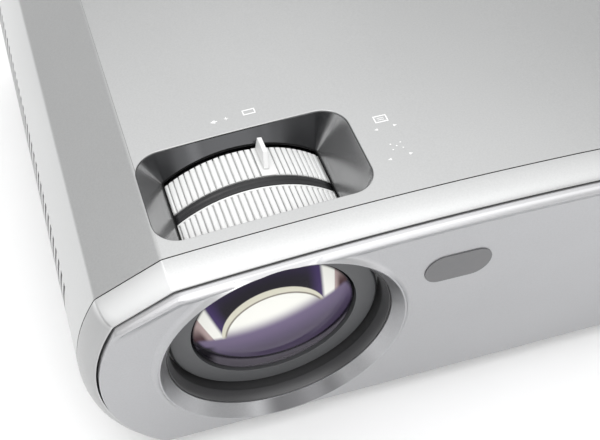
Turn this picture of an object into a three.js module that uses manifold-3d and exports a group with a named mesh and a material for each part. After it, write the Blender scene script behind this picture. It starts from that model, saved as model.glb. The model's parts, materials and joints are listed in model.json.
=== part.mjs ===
// A desktop video projector: crowned housing, recessed front panel with a lens collar, ribbed zoom and focus
// rings in a funnel-shaped well, adjustable front foot, and the optics, lamp, boards and fan inside.
// Millimetres. X runs to the right of someone facing the lens side from the front, Y to the back, Z up.
// The origin is the middle of the footprint, on the table.

import * as THREE from 'three';
import { mergeVertices } from 'three/addons/utils/BufferGeometryUtils.js';
import Module from 'manifold-3d';

const wasm = await Module();
wasm.setup();

// Housing
const bodyWidth = 226.4;
const bodyDepth = 178;
const bodyHeight = 78.2;
const undersideHeight = 5;
const wall = 2.5;
const crownShare = 0.0195;
const plateauShare = 0.7845;
const shoulderShare = 0.8224;
const sideRadiusShare = 0.7104;
const bulgeShare = 0.444;
const seamDepth = 9.1;
const partingShare = 0.2322;
const seamGap = 0.3;
const rearRounding = 5;
const fitGap = 0.3;
const cutOverrun = 6;
const sideSteps = 8;
const crownSteps = 10;
const roundSteps = 16;

// Front panel and bezel
const panelSideMargin = 4;
const panelTopMargin = 2.45;
const panelBottomMargin = 1.5;
const panelCrownExtra = 0.25;
const panelPlateauMargin = 1;
const panelShoulderMargin = 1.6;
const panelArcMargin = 6;
const panelBulgeRise = 1.7;
const panelThickness = 3.2;
const panelEdgeBevel = 0.9;
const panelGap = 0.5;
const beadWidth = 1.9;
const beadProud = 0.6;
const bezelSetback = 1.5;
const bezelDepthShares = [0, 0.07, 0.22, 0.46, 0.72, 1];
const bezelInsetShares = [1, 0.74, 0.48, 0.24, 0.07, 0];
const ledgeWidth = 2.5;
const ledgeThickness = 2;
const lugWidth = 14;
const lugThickness = 1.5;
const lugReach = 4;
const topLugPlaces = [8, 66];
const bottomLugPlaces = [-30, 60];

// Lens axis, collar and infra-red window
const wellEdgeMargin = 0.2;
const lensHeightShare = 0.4918;
const lensSteps = 40;
const collarBoreShare = 0.40984;
const collarBoreSetback = 1.6;
const collarCrestReach = 2.6;
const collarCrestProud = 1.5;
const collarFootReach = 6.6;
const collarRounding = 0.8;
const windowOffset = 44.8;
const windowRise = 16.6;
const windowWidth = 18;
const windowHeight = 9.6;
const windowSetback = 0.6;

// Shroud behind the collar
const shroudMouthSetback = 2;
const shroudMouthInset = 0.7;
const shroudThroatInset = 1.14;
const shroudThroatDepth = 6.5;
const shroudFlangeReach = 2.4;
const shroudFlangeThickness = 2.1;
const shroudTubeReach = 1.2;
const shroudEnd = 11;

// Barrel, cells and lenses
const barrelFront = 11.5;
const barrelOuterInset = 2.8;
const barrelWall = 2.9;
const barrelCollarDepth = 2;
const barrelBoreEnd = 58;
const barrelThroatInset = 10;
const barrelFlangeReach = 1;
const barrelFlangeThickness = 4;
const barrelEnd = 66;
const cellFaceDepth = 7.9;
const cellFaceInset = 2.3;
const cellInset = 1.6;
const cellDiscThickness = 2.2;
const cellBevelDepth = 0.6;
const cellSleeveEnd = 26;
const glassInset = 7.9;
const glassCellGap = 0.3;
const glassBulge = 4.2;
const glassEdgeDepth = 8.8;
const glassEdgeEnd = 14.9;
const cellLedgeWidth = 2.1;
const glassSteps = 5;
const zoomCellFront = 34;
const zoomCellDepth = 12;
const zoomCellLedge = 4;
const zoomGlassInset = 6;
const zoomGlassEdge = 2.4;
const zoomGlassBulge = 1.8;
const zoomLedgeWidth = 1.8;

// Focus and zoom rings
const ringReach = 2.05;
const ringWall = 4.55;
const grooveDepth = 0.6;
const ribCount = 108;
const ribCrestShare = 0.7;
const ringGap = 0.3;
const focusRingFront = 12;
const focusRingDepth = 12.8;
const spacerDepth = 2.9;
const spacerInset = 0.15;
const zoomRingDepth = 9.3;
const finAngle = 7.4;
const finThickness = 1.5;
const finLength = 7.3;
const finFlatLength = 1.6;
const finHeight = 4.6;
const patchStartAngle = 5;
const patchEndAngle = 15;

// Ring well
const wellWidthShare = 0.83;
const wellFront = 13.2;
const wellBack = 41.5;
const wellCornerRadius = 6.5;
const wellWall = 1.2;
const slotWidthShare = 0.6365;
const slotBackGap = 0.9;
const slotRingGap = 0.7;
const wellCornerSteps = 4;
const wellEdgeSteps = 8;

// Side air slots
const slotPitch = 4;
const slotWidth = 2;
const slotTopRise = 3;
const slotBottomRise = 3.5;
const intakeStartMargin = 25;
const intakeEndMargin = 28;
const exhaustHalfLength = 24;

// Rear panel and its sockets
const rearPanelSetback = 7;
const rearPanelThickness = 2.2;
const socketProud = 2.6;
const socketLength = 14;
const socketWall = 1;
const signalPortWidth = 17;
const signalPortHeight = 8.4;
const signalPortShares = [0.13, 0.335];
const usbShare = 0.51;
const usbSize = 11.4;
const usbCavityWidth = 8.6;
const usbTongueHeight = 3;
const roundSocketShares = [0.655, 0.78, 0.885];
const roundSocketRadii = [5.4, 4.2, 3.6];
const roundSocketBoreShare = 0.5;
const inletSpacing = 26;
const inletHeight = 36;
const inletWidth = 28;
const inletTall = 21;
const inletDepth = 19;
const inletFlange = 2.4;
const inletFlangeThickness = 1.6;
const inletCavityWidth = 24.4;
const inletCavityTall = 17.4;
const inletCavityDepth = 15.5;
const pinWidth = 2;
const pinTall = 4;
const pinLength = 13.5;
const pinSpacing = 14;
const pinDrop = 2.4;
const earthPinRise = 4.6;
const rockerMargin = 25.2;
const rockerWidth = 10;
const rockerTall = 15;
const rockerDepth = 6;
const rockerBow = 1.6;
const rockerTilt = 10;
const rockerGap = 0.6;
const rockerPivotRadius = 1.5;

// Underside
const frontFootDepth = 24;
const frontFootRadius = 11;
const footPadHeight = 4.6;
const footPostRadius = 8;
const footPostTop = 34;
const footSleeveWall = 2.4;
const footSleeveTop = 31;
const footButtonPlace = 21;
const footButtonWidth = 8;
const footButtonDepth = 12;
const footButtonFlange = 1.2;
const footButtonTop = 12;
const footLatchHeight = 3;
const rearFootShare = 0.331;
const rearFootMargin = 20;
const rearFootRadius = 8;
const rearFootSeat = 1.2;
const bossRadius = 4.6;
const bossBoreRadius = 2;
const bossHeight = 9;
const bossShares = [[-0.371, 0.337], [0.412, 0.337], [0, 0.843]];
const lampDoorMargin = 4;
const lampCoverThickness = 2.2;
const lampLedge = 3.5;
const lampLedgeThickness = 1.8;
const lampLedgeOuter = 3;
const screwHeadRadius = 3;
const screwShankRadius = 1.5;
const screwHeadHeight = 1.4;
const screwLength = 6;
const screwInset = 5;
const screwSlotWidth = 0.8;
const screwSlotDepth = 0.7;

// Light engine
const engineMargin = 3;
const engineDepth = 29.4;
const engineFloorGap = 4.5;
const engineTopMargin = 1.2;
const engineBoreInset = 1;
const chipMargin = 4.5;
const chipThickness = 3;
const chipBoardInset = 5;
const boardThickness = 1.6;
const sinkInset = 5;
const sinkBase = 2.5;
const sinkReach = 19;
const finPlateThickness = 1.6;
const finPlateCount = 8;
const tunnelSize = 10;
const tunnelWall = 1;
const tunnelShare = 0.5;
const colourWheelShare = 0.667;
const colourWheelThickness = 1.6;
const colourWheelGapShare = 0.068;
const colourWheelShift = 14;
const wheelShaftRadius = 1.5;
const motorRadius = 9;
const motorShare = 0.25;
const motorPostWidth = 9;

// Lamp
const lampFanGap = 8;
const lampLengthShare = 0.265;
const lampWall = 2;
const lampMouthMargin = 1;
const reflectorShare = 0.8;
const reflectorNeckRadius = 7;
const reflectorLengthShare = 0.6;
const reflectorWall = 2;
const reflectorSetback = 4;
const reflectorSteps = 5;
const lampSocketWidth = 22;
const burnerRadius = 4;
const burnerBulbRadius = 6;
const burnerReachShare = 0.43;

// Boards, ballast and speaker
const postRadius = 3;
const postInset = 5;
const mainBoardLeftShare = 0.353;
const mainBoardRightShare = 0.15;
const mainBoardGap = 4;
const mainBoardHeight = 24;
const supplyLengthShare = 0.274;
const supplySideMargin = 15.2;
const supplyFrontMargin = 4;
const supplyDepth = 30;
const supplyHeight = 12;
const transformerWidth = 20;
const transformerDepth = 22;
const transformerTall = 26;
const capacitorRadius = 7;
const capacitorTall = 28;
const coolingPlateThickness = 3;
const coolingPlateTall = 30;
const ballastInset = 12;
const ballastLengthShare = 0.5;
const ballastEdgeGap = 2;
const ballastTall = 14;
const ballastFinCount = 6;
const speakerRadius = 14;
const speakerDepth = 8;
const speakerMargin = 12.2;
const speakerRearMargin = 32;
const speakerHeight = 30;
const speakerConeShare = 0.72;
const cradleThickness = 4;

// Exhaust fan
const fanHeadroom = 1.2;
const fanDepth = 15;
const fanSideMargin = 14.2;
const fanDepthShare = 0.618;
const fanRim = 1.5;
const fanHubShare = 0.2115;
const fanShaftRadius = 1.7;
const fanPlateThickness = 2;
const fanStrutWidth = 3;
const fanStrutCount = 3;
const fanBladeCount = 7;
const fanBladeThickness = 1.2;
const fanBladeChord = 12;
const fanBladePitch = 36;
const fanTipGap = 0.8;

// Keypad
const buttonProud = 1;
const buttonRounding = 0.5;
const buttonFlange = 1;
const buttonFlangeThickness = 1.2;
const buttonTravel = 0.7;
const buttonGap = 0.35;
const buttonSteps = 14;
const keypadLeft = -36;
const keypadRight = 34;
const keypadDepth = 36;
const keypadRearMargin = 24;
const keypadColumn = 12;
const keypadSpacing = 11;
const powerColumn = -27;
const sourceColumn = -11;
const lightColumn = -19;
const arrowRadius = 3.6;
const menuRadius = 4;
const powerRadius = 5;
const lightRadius = 1.4;
const lightProud = 0.2;
const lightSteps = 10;
const keypadPostRadius = 2.4;

// Finishes
function finish(colour, roughness, metalness = 0) {
  return new THREE.MeshStandardMaterial({ color: colour, roughness, metalness });
}
const silverPaint = finish(0xc9cacc, 0.42, 0.35);
const panelSilver = finish(0xb2b4b9, 0.4, 0.35);
const wellGrey = finish(0x6f7275, 0.55);
const ringWhite = finish(0xe4e5e6, 0.5);
const satinBlack = finish(0x1b1c1e, 0.45);
const lensGrey = finish(0x4b4d50, 0.5);
const coatedGlass = finish(0x4a3a66, 0.05);
const windowGrey = finish(0x6f7174, 0.3);
const rubberGrey = finish(0x3a3b3d, 0.85);
const greyPlastic = finish(0x85888c, 0.6);
const castMetal = finish(0x9b9da0, 0.45, 0.8);
const boardGreen = finish(0x2f6b45, 0.6);
const brightMetal = finish(0xc7c9cb, 0.3, 0.9);
const clearGlass = finish(0xd8e4ea, 0.05);

// Sizes and places worked out from the ones above: housing and panel
const bodyThickness = bodyHeight - undersideHeight;
const crownDrop = bodyWidth * crownShare;
const plateauWidth = bodyWidth * plateauShare;
const shoulderHeight = undersideHeight + bodyThickness * shoulderShare;
const sideRadius = bodyThickness * sideRadiusShare;
const sideBulgeHeight = undersideHeight + bodyThickness * bulgeShare;
const partingHeight = undersideHeight + bodyThickness * partingShare;
const innerFloor = undersideHeight + wall;
const panelWidth = bodyWidth - 2 * panelSideMargin;
const panelTop = bodyHeight - panelTopMargin;
const panelBottom = undersideHeight + panelBottomMargin;
const panelCrownDrop = crownDrop + panelCrownExtra;
const panelPlateauWidth = plateauWidth - 2 * panelPlateauMargin;
const panelShoulderHeight = shoulderHeight - panelShoulderMargin;
const panelSideRadius = sideRadius - panelArcMargin;
const panelBulgeHeight = sideBulgeHeight + panelBulgeRise;
const rearPanelFace = bodyDepth - rearPanelSetback;
const rearPanelBack = rearPanelFace - rearPanelThickness;
const crownRadius = ((plateauWidth / 2) ** 2 + crownDrop ** 2) / (2 * crownDrop);
const frontMost = -collarCrestProud;

// Lens stack, every radius counted from the collar's bore
const lensHeight = undersideHeight + bodyThickness * lensHeightShare;
const collarBoreRadius = bodyThickness * collarBoreShare;
const collarCrestRadius = collarBoreRadius + collarCrestReach;
const collarFootRadius = collarBoreRadius + collarFootReach;
const shroudMouthRadius = collarBoreRadius - shroudMouthInset;
const shroudThroatRadius = collarBoreRadius - shroudThroatInset;
const shroudFlangeRadius = collarBoreRadius + shroudFlangeReach;
const shroudTubeRadius = collarBoreRadius + shroudTubeReach;
const cellFaceRadius = collarBoreRadius - cellFaceInset;
const cellRadius = collarBoreRadius - cellInset;
const glassRadius = collarBoreRadius - glassInset;
const cellLedgeRadius = glassRadius - cellLedgeWidth;
const barrelOuterRadius = collarBoreRadius - barrelOuterInset;
const barrelBoreRadius = barrelOuterRadius - barrelWall;
const barrelThroatRadius = collarBoreRadius - barrelThroatInset;
const barrelFlangeRadius = collarBoreRadius + barrelFlangeReach;
const zoomGlassRadius = barrelBoreRadius - zoomGlassInset;
const zoomLedgeRadius = zoomGlassRadius - zoomLedgeWidth;
const ringRadius = collarBoreRadius + ringReach;
const ringBoreRadius = ringRadius - ringWall;
const spacerRadius = ringRadius - spacerInset;
const spacerFront = focusRingFront + focusRingDepth + ringGap;
const zoomRingFront = spacerFront + spacerDepth + ringGap;
const zoomRingBack = zoomRingFront + zoomRingDepth;
const slotBack = zoomRingBack + slotBackGap;
const wellHalfWidth = ringRadius * wellWidthShare;
const slotHalfWidth = ringRadius * slotWidthShare;
const lensX = wellHalfWidth + wellEdgeMargin - plateauWidth / 2;

// Light path from the lens back and across to the lamp
const engineFront = barrelEnd + fitGap;
const engineBack = engineFront + engineDepth;
const engineLeft = lensX - barrelFlangeRadius - engineMargin;
const engineRight = lensX + barrelFlangeRadius + engineMargin;
const engineBottom = innerFloor + engineFloorGap;
const engineTop = shoulderHeight - engineTopMargin;
const engineBoreRadius = barrelThroatRadius - engineBoreInset;
const lightAxisDepth = (engineFront + engineBack) / 2;
const chipFront = engineBack + fitGap;
const chipBoardFront = chipFront + chipThickness + fitGap;
const sinkFront = chipBoardFront + boardThickness + fitGap;
const fanRight = bodyWidth / 2 - fanSideMargin;
const fanLeft = fanRight - fanDepth;
const lampLength = bodyWidth * lampLengthShare;
const lampTall = 2 * collarBoreRadius;
const lampRight = fanLeft - lampFanGap;
const lampLeft = lampRight - lampLength;
const lampBottom = undersideHeight + lampCoverThickness + fitGap;
const lampTop = lampBottom + lampTall;
const lampNear = lightAxisDepth - lampTall / 2;
const lampFar = lightAxisDepth + lampTall / 2;
const reflectorRadius = collarBoreRadius * reflectorShare;
const reflectorLength = lampLength * reflectorLengthShare;
const reflectorLeft = lampLeft + reflectorSetback;
const lampMouthRadius = reflectorRadius - lampMouthMargin;
const lightPath = lampLeft - engineRight;
const tunnelEnd = engineRight + lightPath * tunnelShare;
const wheelLeft = tunnelEnd + lightPath * colourWheelGapShare;
const wheelRight = wheelLeft + colourWheelThickness;
const wheelY = lightAxisDepth + colourWheelShift;
const colourWheelRadius = collarBoreRadius * colourWheelShare;
const motorLeft = wheelRight + fitGap;
const motorLength = lightPath * motorShare;
const motorBore = motorLeft + motorLength / 2;

// Boards, fan, sockets and keypad
const mainBoardLeft = -bodyWidth * mainBoardLeftShare;
const mainBoardRight = bodyWidth * mainBoardRightShare;
const mainBoardWidth = mainBoardRight - mainBoardLeft;
const mainBoardFront = sinkFront + sinkReach + mainBoardGap;
const mainBoardBack = rearPanelBack - fitGap;
const supplyRight = bodyWidth / 2 - supplySideMargin;
const supplyLeft = supplyRight - bodyWidth * supplyLengthShare;
const supplyFront = seamDepth + supplyFrontMargin;
const supplyBack = supplyFront + supplyDepth;
const speakerLeft = speakerMargin - bodyWidth / 2;
const speakerPlace = bodyDepth - speakerRearMargin;
const fanCentreY = bodyDepth * fanDepthShare;
const fanSize = shoulderHeight - fanHeadroom - engineBottom;
const fanCentreZ = engineBottom + fanSize / 2;
const fanBoreRadius = fanSize / 2 - fanRim;
const fanHubRadius = fanSize * fanHubShare;
const fanNear = fanCentreY - fanSize / 2;
const fanFar = fanCentreY + fanSize / 2;
const slotTop = lensHeight + slotTopRise;
const slotBottom = partingHeight + slotBottomRise;
const intakeStart = seamDepth + intakeStartMargin;
const intakeEnd = bodyDepth - intakeEndMargin;
const exhaustStart = fanCentreY - exhaustHalfLength;
const exhaustEnd = fanCentreY + exhaustHalfLength;
const signalPortPlaces = signalPortShares.map((share) => mainBoardLeft + mainBoardWidth * share);
const usbPlace = mainBoardLeft + mainBoardWidth * usbShare;
const roundSocketPlaces = roundSocketShares.map((share) => mainBoardLeft + mainBoardWidth * share);
const rockerPlace = bodyWidth / 2 - rockerMargin;
const inletPlace = rockerPlace - inletSpacing;
const rearFootPlace = bodyWidth * rearFootShare;
const rearFootDepth = bodyDepth - rearFootMargin;
const bossPlaces = bossShares.map(
  ([acrossShare, alongShare]) => [bodyWidth * acrossShare, bodyDepth * alongShare],
);
const keypadBack = bodyDepth - keypadRearMargin;
const keypadFront = keypadBack - keypadDepth;
const keypadRow = (keypadFront + keypadBack) / 2;
const buttons = [
  { name: 'power_button', x: powerColumn, y: keypadRow, radius: powerRadius },
  { name: 'source_button', x: sourceColumn, y: keypadRow, radius: menuRadius },
  { name: 'menu_button', x: keypadColumn, y: keypadRow, radius: menuRadius },
  { name: 'up_button', x: keypadColumn, y: keypadRow + keypadSpacing, radius: arrowRadius },
  { name: 'down_button', x: keypadColumn, y: keypadRow - keypadSpacing, radius: arrowRadius },
  { name: 'left_button', x: keypadColumn - keypadSpacing, y: keypadRow, radius: arrowRadius },
  { name: 'right_button', x: keypadColumn + keypadSpacing, y: keypadRow, radius: arrowRadius },
];
const lights = [
  { name: 'power_light', x: powerColumn, y: keypadRow - keypadSpacing },
  { name: 'lamp_light', x: lightColumn, y: keypadRow - keypadSpacing },
];

function crownZ(x) {
  return bodyHeight - crownRadius + Math.sqrt(crownRadius ** 2 - x ** 2);
}

// The object, with the panel's face at y = 0 before the group is centred on its footprint
const projector = new THREE.Group();
projector.position.y = -(bodyDepth + frontMost) / 2;
const lensGroup = new THREE.Group();
lensGroup.position.set(lensX, 0, lensHeight);
projector.add(lensGroup);

function addMesh(name, shape, material, parent = projector) {
  const geometry = shape.isBufferGeometry ? shape : surface(shape);
  const mesh = new THREE.Mesh(geometry, material);
  mesh.name = name;
  parent.add(mesh);
  return mesh;
}

// Solids and surfaces
function solid(geometry) {
  const bare = geometry.clone();
  bare.deleteAttribute('normal');
  bare.deleteAttribute('uv');
  const merged = mergeVertices(bare);
  const positions = new Float32Array(merged.attributes.position.array);
  const corners = merged.index.array;
  const kept = [];
  let volume = 0;
  const [a, b, c] = [new THREE.Vector3(), new THREE.Vector3(), new THREE.Vector3()];
  for (let i = 0; i < corners.length; i += 3) {
    const [p, q, r] = [corners[i], corners[i + 1], corners[i + 2]];
    if (p === q || q === r || r === p) continue;
    kept.push([p, q, r]);
    volume += a.fromArray(positions, 3 * p).dot(
      b.fromArray(positions, 3 * q).cross(c.fromArray(positions, 3 * r)),
    );
  }
  const outward = volume > 0 ? kept : kept.map(([p, q, r]) => [p, r, q]);
  const triVerts = new Uint32Array(outward.flat());
  return new wasm.Manifold(new wasm.Mesh({ numProp: 3, vertProperties: positions, triVerts }));
}

function surface(manifold) {
  const mesh = manifold.getMesh();
  const geometry = new THREE.BufferGeometry();
  geometry.setAttribute('position', new THREE.BufferAttribute(mesh.vertProperties, 3));
  geometry.setIndex(new THREE.BufferAttribute(mesh.triVerts, 1));
  geometry.computeVertexNormals();
  return geometry;
}

function joined(solids) {
  return solids.reduce((whole, piece) => whole.add(piece));
}

function block(x0, x1, y0, y1, z0, z1) {
  const geometry = new THREE.BoxGeometry(x1 - x0, y1 - y0, z1 - z0);
  geometry.translate((x0 + x1) / 2, (y0 + y1) / 2, (z0 + z1) / 2);
  return solid(geometry);
}

function rodX(radius, x0, x1, y, z, steps = roundSteps) {
  const geometry = new THREE.CylinderGeometry(radius, radius, x1 - x0, steps);
  geometry.rotateZ(Math.PI / 2);
  geometry.translate((x0 + x1) / 2, y, z);
  return solid(geometry);
}

function rodY(radius, y0, y1, x, z, steps = roundSteps) {
  const geometry = new THREE.CylinderGeometry(radius, radius, y1 - y0, steps);
  geometry.translate(x, (y0 + y1) / 2, z);
  return solid(geometry);
}

function rodZ(radius, z0, z1, x, y, steps = roundSteps) {
  const geometry = new THREE.CylinderGeometry(radius, radius, z1 - z0, steps);
  geometry.rotateX(Math.PI / 2);
  geometry.translate(x, y, (z0 + z1) / 2);
  return solid(geometry);
}

// A ring or disc turned about Y from [radius, depth] points
function turned(profile, steps = lensSteps) {
  const points = profile.map(([radius, depth]) => new THREE.Vector2(radius, depth));
  if (profile[0][0] > 0) points.push(points[0].clone());
  return new THREE.LatheGeometry(points, steps);
}

// A closed skin over loops with equal numbers of points, each end closed by a fan
function loft(loops) {
  const count = loops[0].length;
  const points = loops.flat();
  const index = [];
  for (let ring = 0; ring + 1 < loops.length; ring += 1) {
    for (let k = 0; k < count; k += 1) {
      const here = ring * count + k;
      const next = ring * count + (k + 1) % count;
      index.push(here, next, next + count, here, next + count, here + count);
    }
  }
  const ends = [[loops[0], 0, true], [loops.at(-1), (loops.length - 1) * count, false]];
  for (const [loop, first, reversed] of ends) {
    const hub = points.length;
    const middle = new THREE.Vector3();
    loop.forEach((point) => middle.addScaledVector(point, 1 / count));
    points.push(middle);
    for (let k = 0; k < count; k += 1) {
      const [here, next] = [first + k, first + (k + 1) % count];
      index.push(...(reversed ? [next, here, hub] : [here, next, hub]));
    }
  }
  const geometry = new THREE.BufferGeometry().setFromPoints(points);
  geometry.setIndex(index);
  return solid(geometry);
}

// Half of a section's points, bottom to crown, mirrored to a whole loop in X and Z
function outline(width, bottom, top, drop, flatWidth, shoulder, radius, bulge) {
  const half = [];
  const low = Math.asin((bottom - bulge) / radius);
  const high = Math.asin((shoulder - bulge) / radius);
  for (let k = 0; k <= sideSteps; k += 1) {
    const angle = low + (high - low) * k / sideSteps;
    half.push(
      new THREE.Vector2(width / 2 - radius + radius * Math.cos(angle), bulge + radius * Math.sin(angle)),
    );
  }
  const halfFlat = flatWidth / 2;
  const archRadius = (halfFlat ** 2 + drop ** 2) / (2 * drop);
  const crown = [];
  for (let k = 0; k <= crownSteps; k += 1) {
    const x = halfFlat * (1 - 2 * k / crownSteps);
    crown.push(new THREE.Vector2(x, top - archRadius + Math.sqrt(archRadius ** 2 - x ** 2)));
  }
  const mirrored = half.map((point) => new THREE.Vector2(-point.x, point.y)).reverse();
  return [...half, ...crown, ...mirrored];
}

function inset(loop, distance) {
  const count = loop.length;
  return loop.map((point, k) => {
    const before = point.clone().sub(loop[(k + count - 1) % count]).normalize();
    const after = loop[(k + 1) % count].clone().sub(point).normalize();
    const sum = new THREE.Vector2(before.y + after.y, -before.x - after.x);
    return point.clone().addScaledVector(sum, -distance / (1 + before.dot(after)));
  });
}

function section(loop, y) {
  return loop.map((point) => new THREE.Vector3(point.x, y, point.y));
}

const bodyLoop = outline(
  bodyWidth, undersideHeight, bodyHeight, crownDrop, plateauWidth, shoulderHeight, sideRadius,
  sideBulgeHeight,
);
const innerLoop = inset(bodyLoop, wall);
const panelLoop = outline(
  panelWidth, panelBottom, panelTop, panelCrownDrop, panelPlateauWidth, panelShoulderHeight,
  panelSideRadius, panelBulgeHeight,
);
const panelOpening = inset(panelLoop, -panelGap);

// Ring well: a funnel from a rounded rectangle on the crown to the sharp slot around the rings
function wellLoops(outset) {
  const upper = [];
  const lower = [];
  const radius = wellCornerRadius + outset;
  const [left, right] = [lensX - wellHalfWidth - outset, lensX + wellHalfWidth + outset];
  const [front, back] = [wellFront - outset, wellBack + outset];
  const [slotLeft, slotRight] = [lensX - slotHalfWidth - outset, lensX + slotHalfWidth + outset];
  const slotEnd = slotBack + outset;
  const reach = ringRadius + slotRingGap;
  const slotZ = (x) => lensHeight + Math.sqrt(reach ** 2 - (x - lensX) ** 2);
  const corners = [
    [right, back, slotRight, slotEnd, 0],
    [left, back, slotLeft, slotEnd, 1],
    [left, front, slotLeft, front, 2],
    [right, front, slotRight, front, 3],
  ];
  corners.forEach(([x, y, slotX, slotY, quarter], index) => {
    const centreX = x + (quarter === 0 || quarter === 3 ? -radius : radius);
    const centreY = y + (quarter < 2 ? -radius : radius);
    for (let k = 0; k <= wellCornerSteps; k += 1) {
      const angle = Math.PI / 2 * (quarter + k / wellCornerSteps);
      const px = centreX + radius * Math.cos(angle);
      upper.push(new THREE.Vector3(px, centreY + radius * Math.sin(angle), crownZ(px)));
      lower.push(new THREE.Vector3(slotX, slotY, slotZ(slotX)));
    }
    const [nextX, nextY, nextSlotX, nextSlotY, nextQuarter] = corners[(index + 1) % corners.length];
    if (y !== nextY) return;
    const nextCentre = nextX + (nextQuarter === 0 || nextQuarter === 3 ? -radius : radius);
    for (let k = 1; k < wellEdgeSteps; k += 1) {
      const share = k / wellEdgeSteps;
      const px = centreX + (nextCentre - centreX) * share;
      const qx = slotX + (nextSlotX - slotX) * share;
      upper.push(new THREE.Vector3(px, y, crownZ(px)));
      lower.push(new THREE.Vector3(qx, slotY + (nextSlotY - slotY) * share, slotZ(qx)));
    }
  });
  return [upper, lower];
}

function wellFunnel(outset, drop) {
  const [upper, lower] = wellLoops(outset);
  const raised = upper.map((point) => point.clone().setZ(point.z + cutOverrun));
  const deep = lower.map((point) => point.clone().setZ(point.z - drop));
  return loft([raised, upper, lower, deep]);
}

const bodyBlock = loft([section(bodyLoop, 0), section(bodyLoop, bodyDepth)]);
const ringSpace = rodY(ringRadius + slotRingGap, 0, slotBack, lensX, lensHeight, lensSteps);

function makeRingWell() {
  const skirt = wellFunnel(wellWall, wellWall).intersect(bodyBlock);
  return skirt.subtract(wellFunnel(0, 2 * wellWall)).subtract(ringSpace);
}

// Housing shell with a rounded rear edge, open at the front seam and at the rear
function makeShell() {
  const outer = [section(bodyLoop, seamDepth + seamGap)];
  const roundings = 3;
  for (let k = 0; k <= roundings; k += 1) {
    const angle = Math.PI / 2 * k / roundings;
    const y = bodyDepth - rearRounding + rearRounding * Math.sin(angle);
    outer.push(section(inset(bodyLoop, (wall - seamGap) * (1 - Math.cos(angle))), y));
  }
  const inner = [section(innerLoop, seamDepth - cutOverrun), section(innerLoop, bodyDepth + cutOverrun)];
  return loft(outer).subtract(loft(inner));
}

function sideSlots(side, start, end) {
  const slots = [];
  for (let y = start; y + slotWidth <= end; y += slotPitch) {
    const near = side * (bodyWidth / 2 - sideRadius / 2);
    const far = side * (bodyWidth / 2 + cutOverrun);
    slots.push(block(Math.min(near, far), Math.max(near, far), y, y + slotWidth, slotBottom, slotTop));
  }
  return slots;
}

function halfSpace(above) {
  const reach = bodyWidth / 2 + cutOverrun;
  const [z0, z1] = above ? [partingHeight, bodyHeight + cutOverrun] : [-cutOverrun, partingHeight - seamGap];
  return block(-reach, reach, -cutOverrun, bodyDepth + cutOverrun, z0, z1);
}

const shell = makeShell();
const keypadTop = crownZ(keypadLeft) - wall - buttonGap - buttonFlangeThickness - buttonTravel - fitGap;
const keypadPosts = [];
for (const x of [keypadLeft + keypadPostRadius, keypadRight - keypadPostRadius]) {
  for (const y of [keypadFront + keypadPostRadius, keypadBack - keypadPostRadius]) {
    keypadPosts.push([x, y]);
  }
}

function makeTopCover() {
  let cover = shell.intersect(halfSpace(true));
  const slots = [...sideSlots(-1, intakeStart, intakeEnd), ...sideSlots(1, exhaustStart, exhaustEnd)];
  slots.forEach((slot) => { cover = cover.subtract(slot); });
  cover = cover.subtract(wellFunnel(wellWall + fitGap, wellWall));
  for (const [x, y] of keypadPosts) {
    cover = cover.add(rodZ(keypadPostRadius, keypadTop + fitGap, crownZ(x) - wall / 2, x, y, lightSteps));
  }
  for (const { x, y, radius } of buttons) {
    cover = cover.subtract(rodZ(radius + buttonGap, keypadTop, bodyHeight + cutOverrun, x, y, buttonSteps));
  }
  for (const { x, y } of lights) {
    cover = cover.subtract(rodZ(lightRadius + fitGap, keypadTop, bodyHeight + cutOverrun, x, y, lightSteps));
  }
  return cover;
}
addMesh('top_cover', makeTopCover(), silverPaint);
addMesh('ring_well', makeRingWell(), wellGrey);

// Front bezel: rounds from the housing's outline at the seam down to the panel's opening
function lugs(places, top) {
  return places.map((x) => {
    const loopZ = top ? crownZ(Math.abs(x) + lugWidth / 2) - wall - fitGap : innerFloor + fitGap;
    const [z0, z1] = top ? [loopZ - lugThickness, loopZ] : [loopZ, loopZ + lugThickness];
    const root = top
      ? block(x - lugWidth / 2, x + lugWidth / 2, seamDepth - lugReach, seamDepth, z0, crownZ(x) - seamGap)
      : block(
        x - lugWidth / 2, x + lugWidth / 2, seamDepth - lugReach, seamDepth, undersideHeight + seamGap, z1,
      );
    const tongue = block(
      x - lugWidth / 2, x + lugWidth / 2, seamDepth - lugThickness, seamDepth + lugReach, z0, z1,
    );
    return root.add(tongue);
  });
}

function makeBezel() {
  const outer = bezelDepthShares.map((share, k) => {
    const loop = bodyLoop.map((point, i) => point.clone().lerp(panelOpening[i], bezelInsetShares[k]));
    return section(loop, bezelSetback + (seamDepth - bezelSetback) * share);
  });
  outer[0] = section(inset(panelOpening, -seamGap), bezelSetback);
  const ledgeFront = panelThickness + fitGap;
  const ledgeInside = inset(panelLoop, ledgeWidth);
  const frame = loft(outer)
    .subtract(loft([section(panelOpening, -cutOverrun), section(panelOpening, ledgeFront)]))
    .subtract(loft([
      section(panelOpening, ledgeFront + ledgeThickness),
      section(panelOpening, seamDepth + cutOverrun),
    ]))
    .subtract(loft([section(ledgeInside, 0), section(ledgeInside, seamDepth)]))
    .subtract(rodY(shroudFlangeRadius + 2 * fitGap, 0, seamDepth, lensX, lensHeight, lensSteps));
  return joined([frame, ...lugs(topLugPlaces, true), ...lugs(bottomLugPlaces, false)]);
}
addMesh('front_bezel', makeBezel(), silverPaint);

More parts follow.
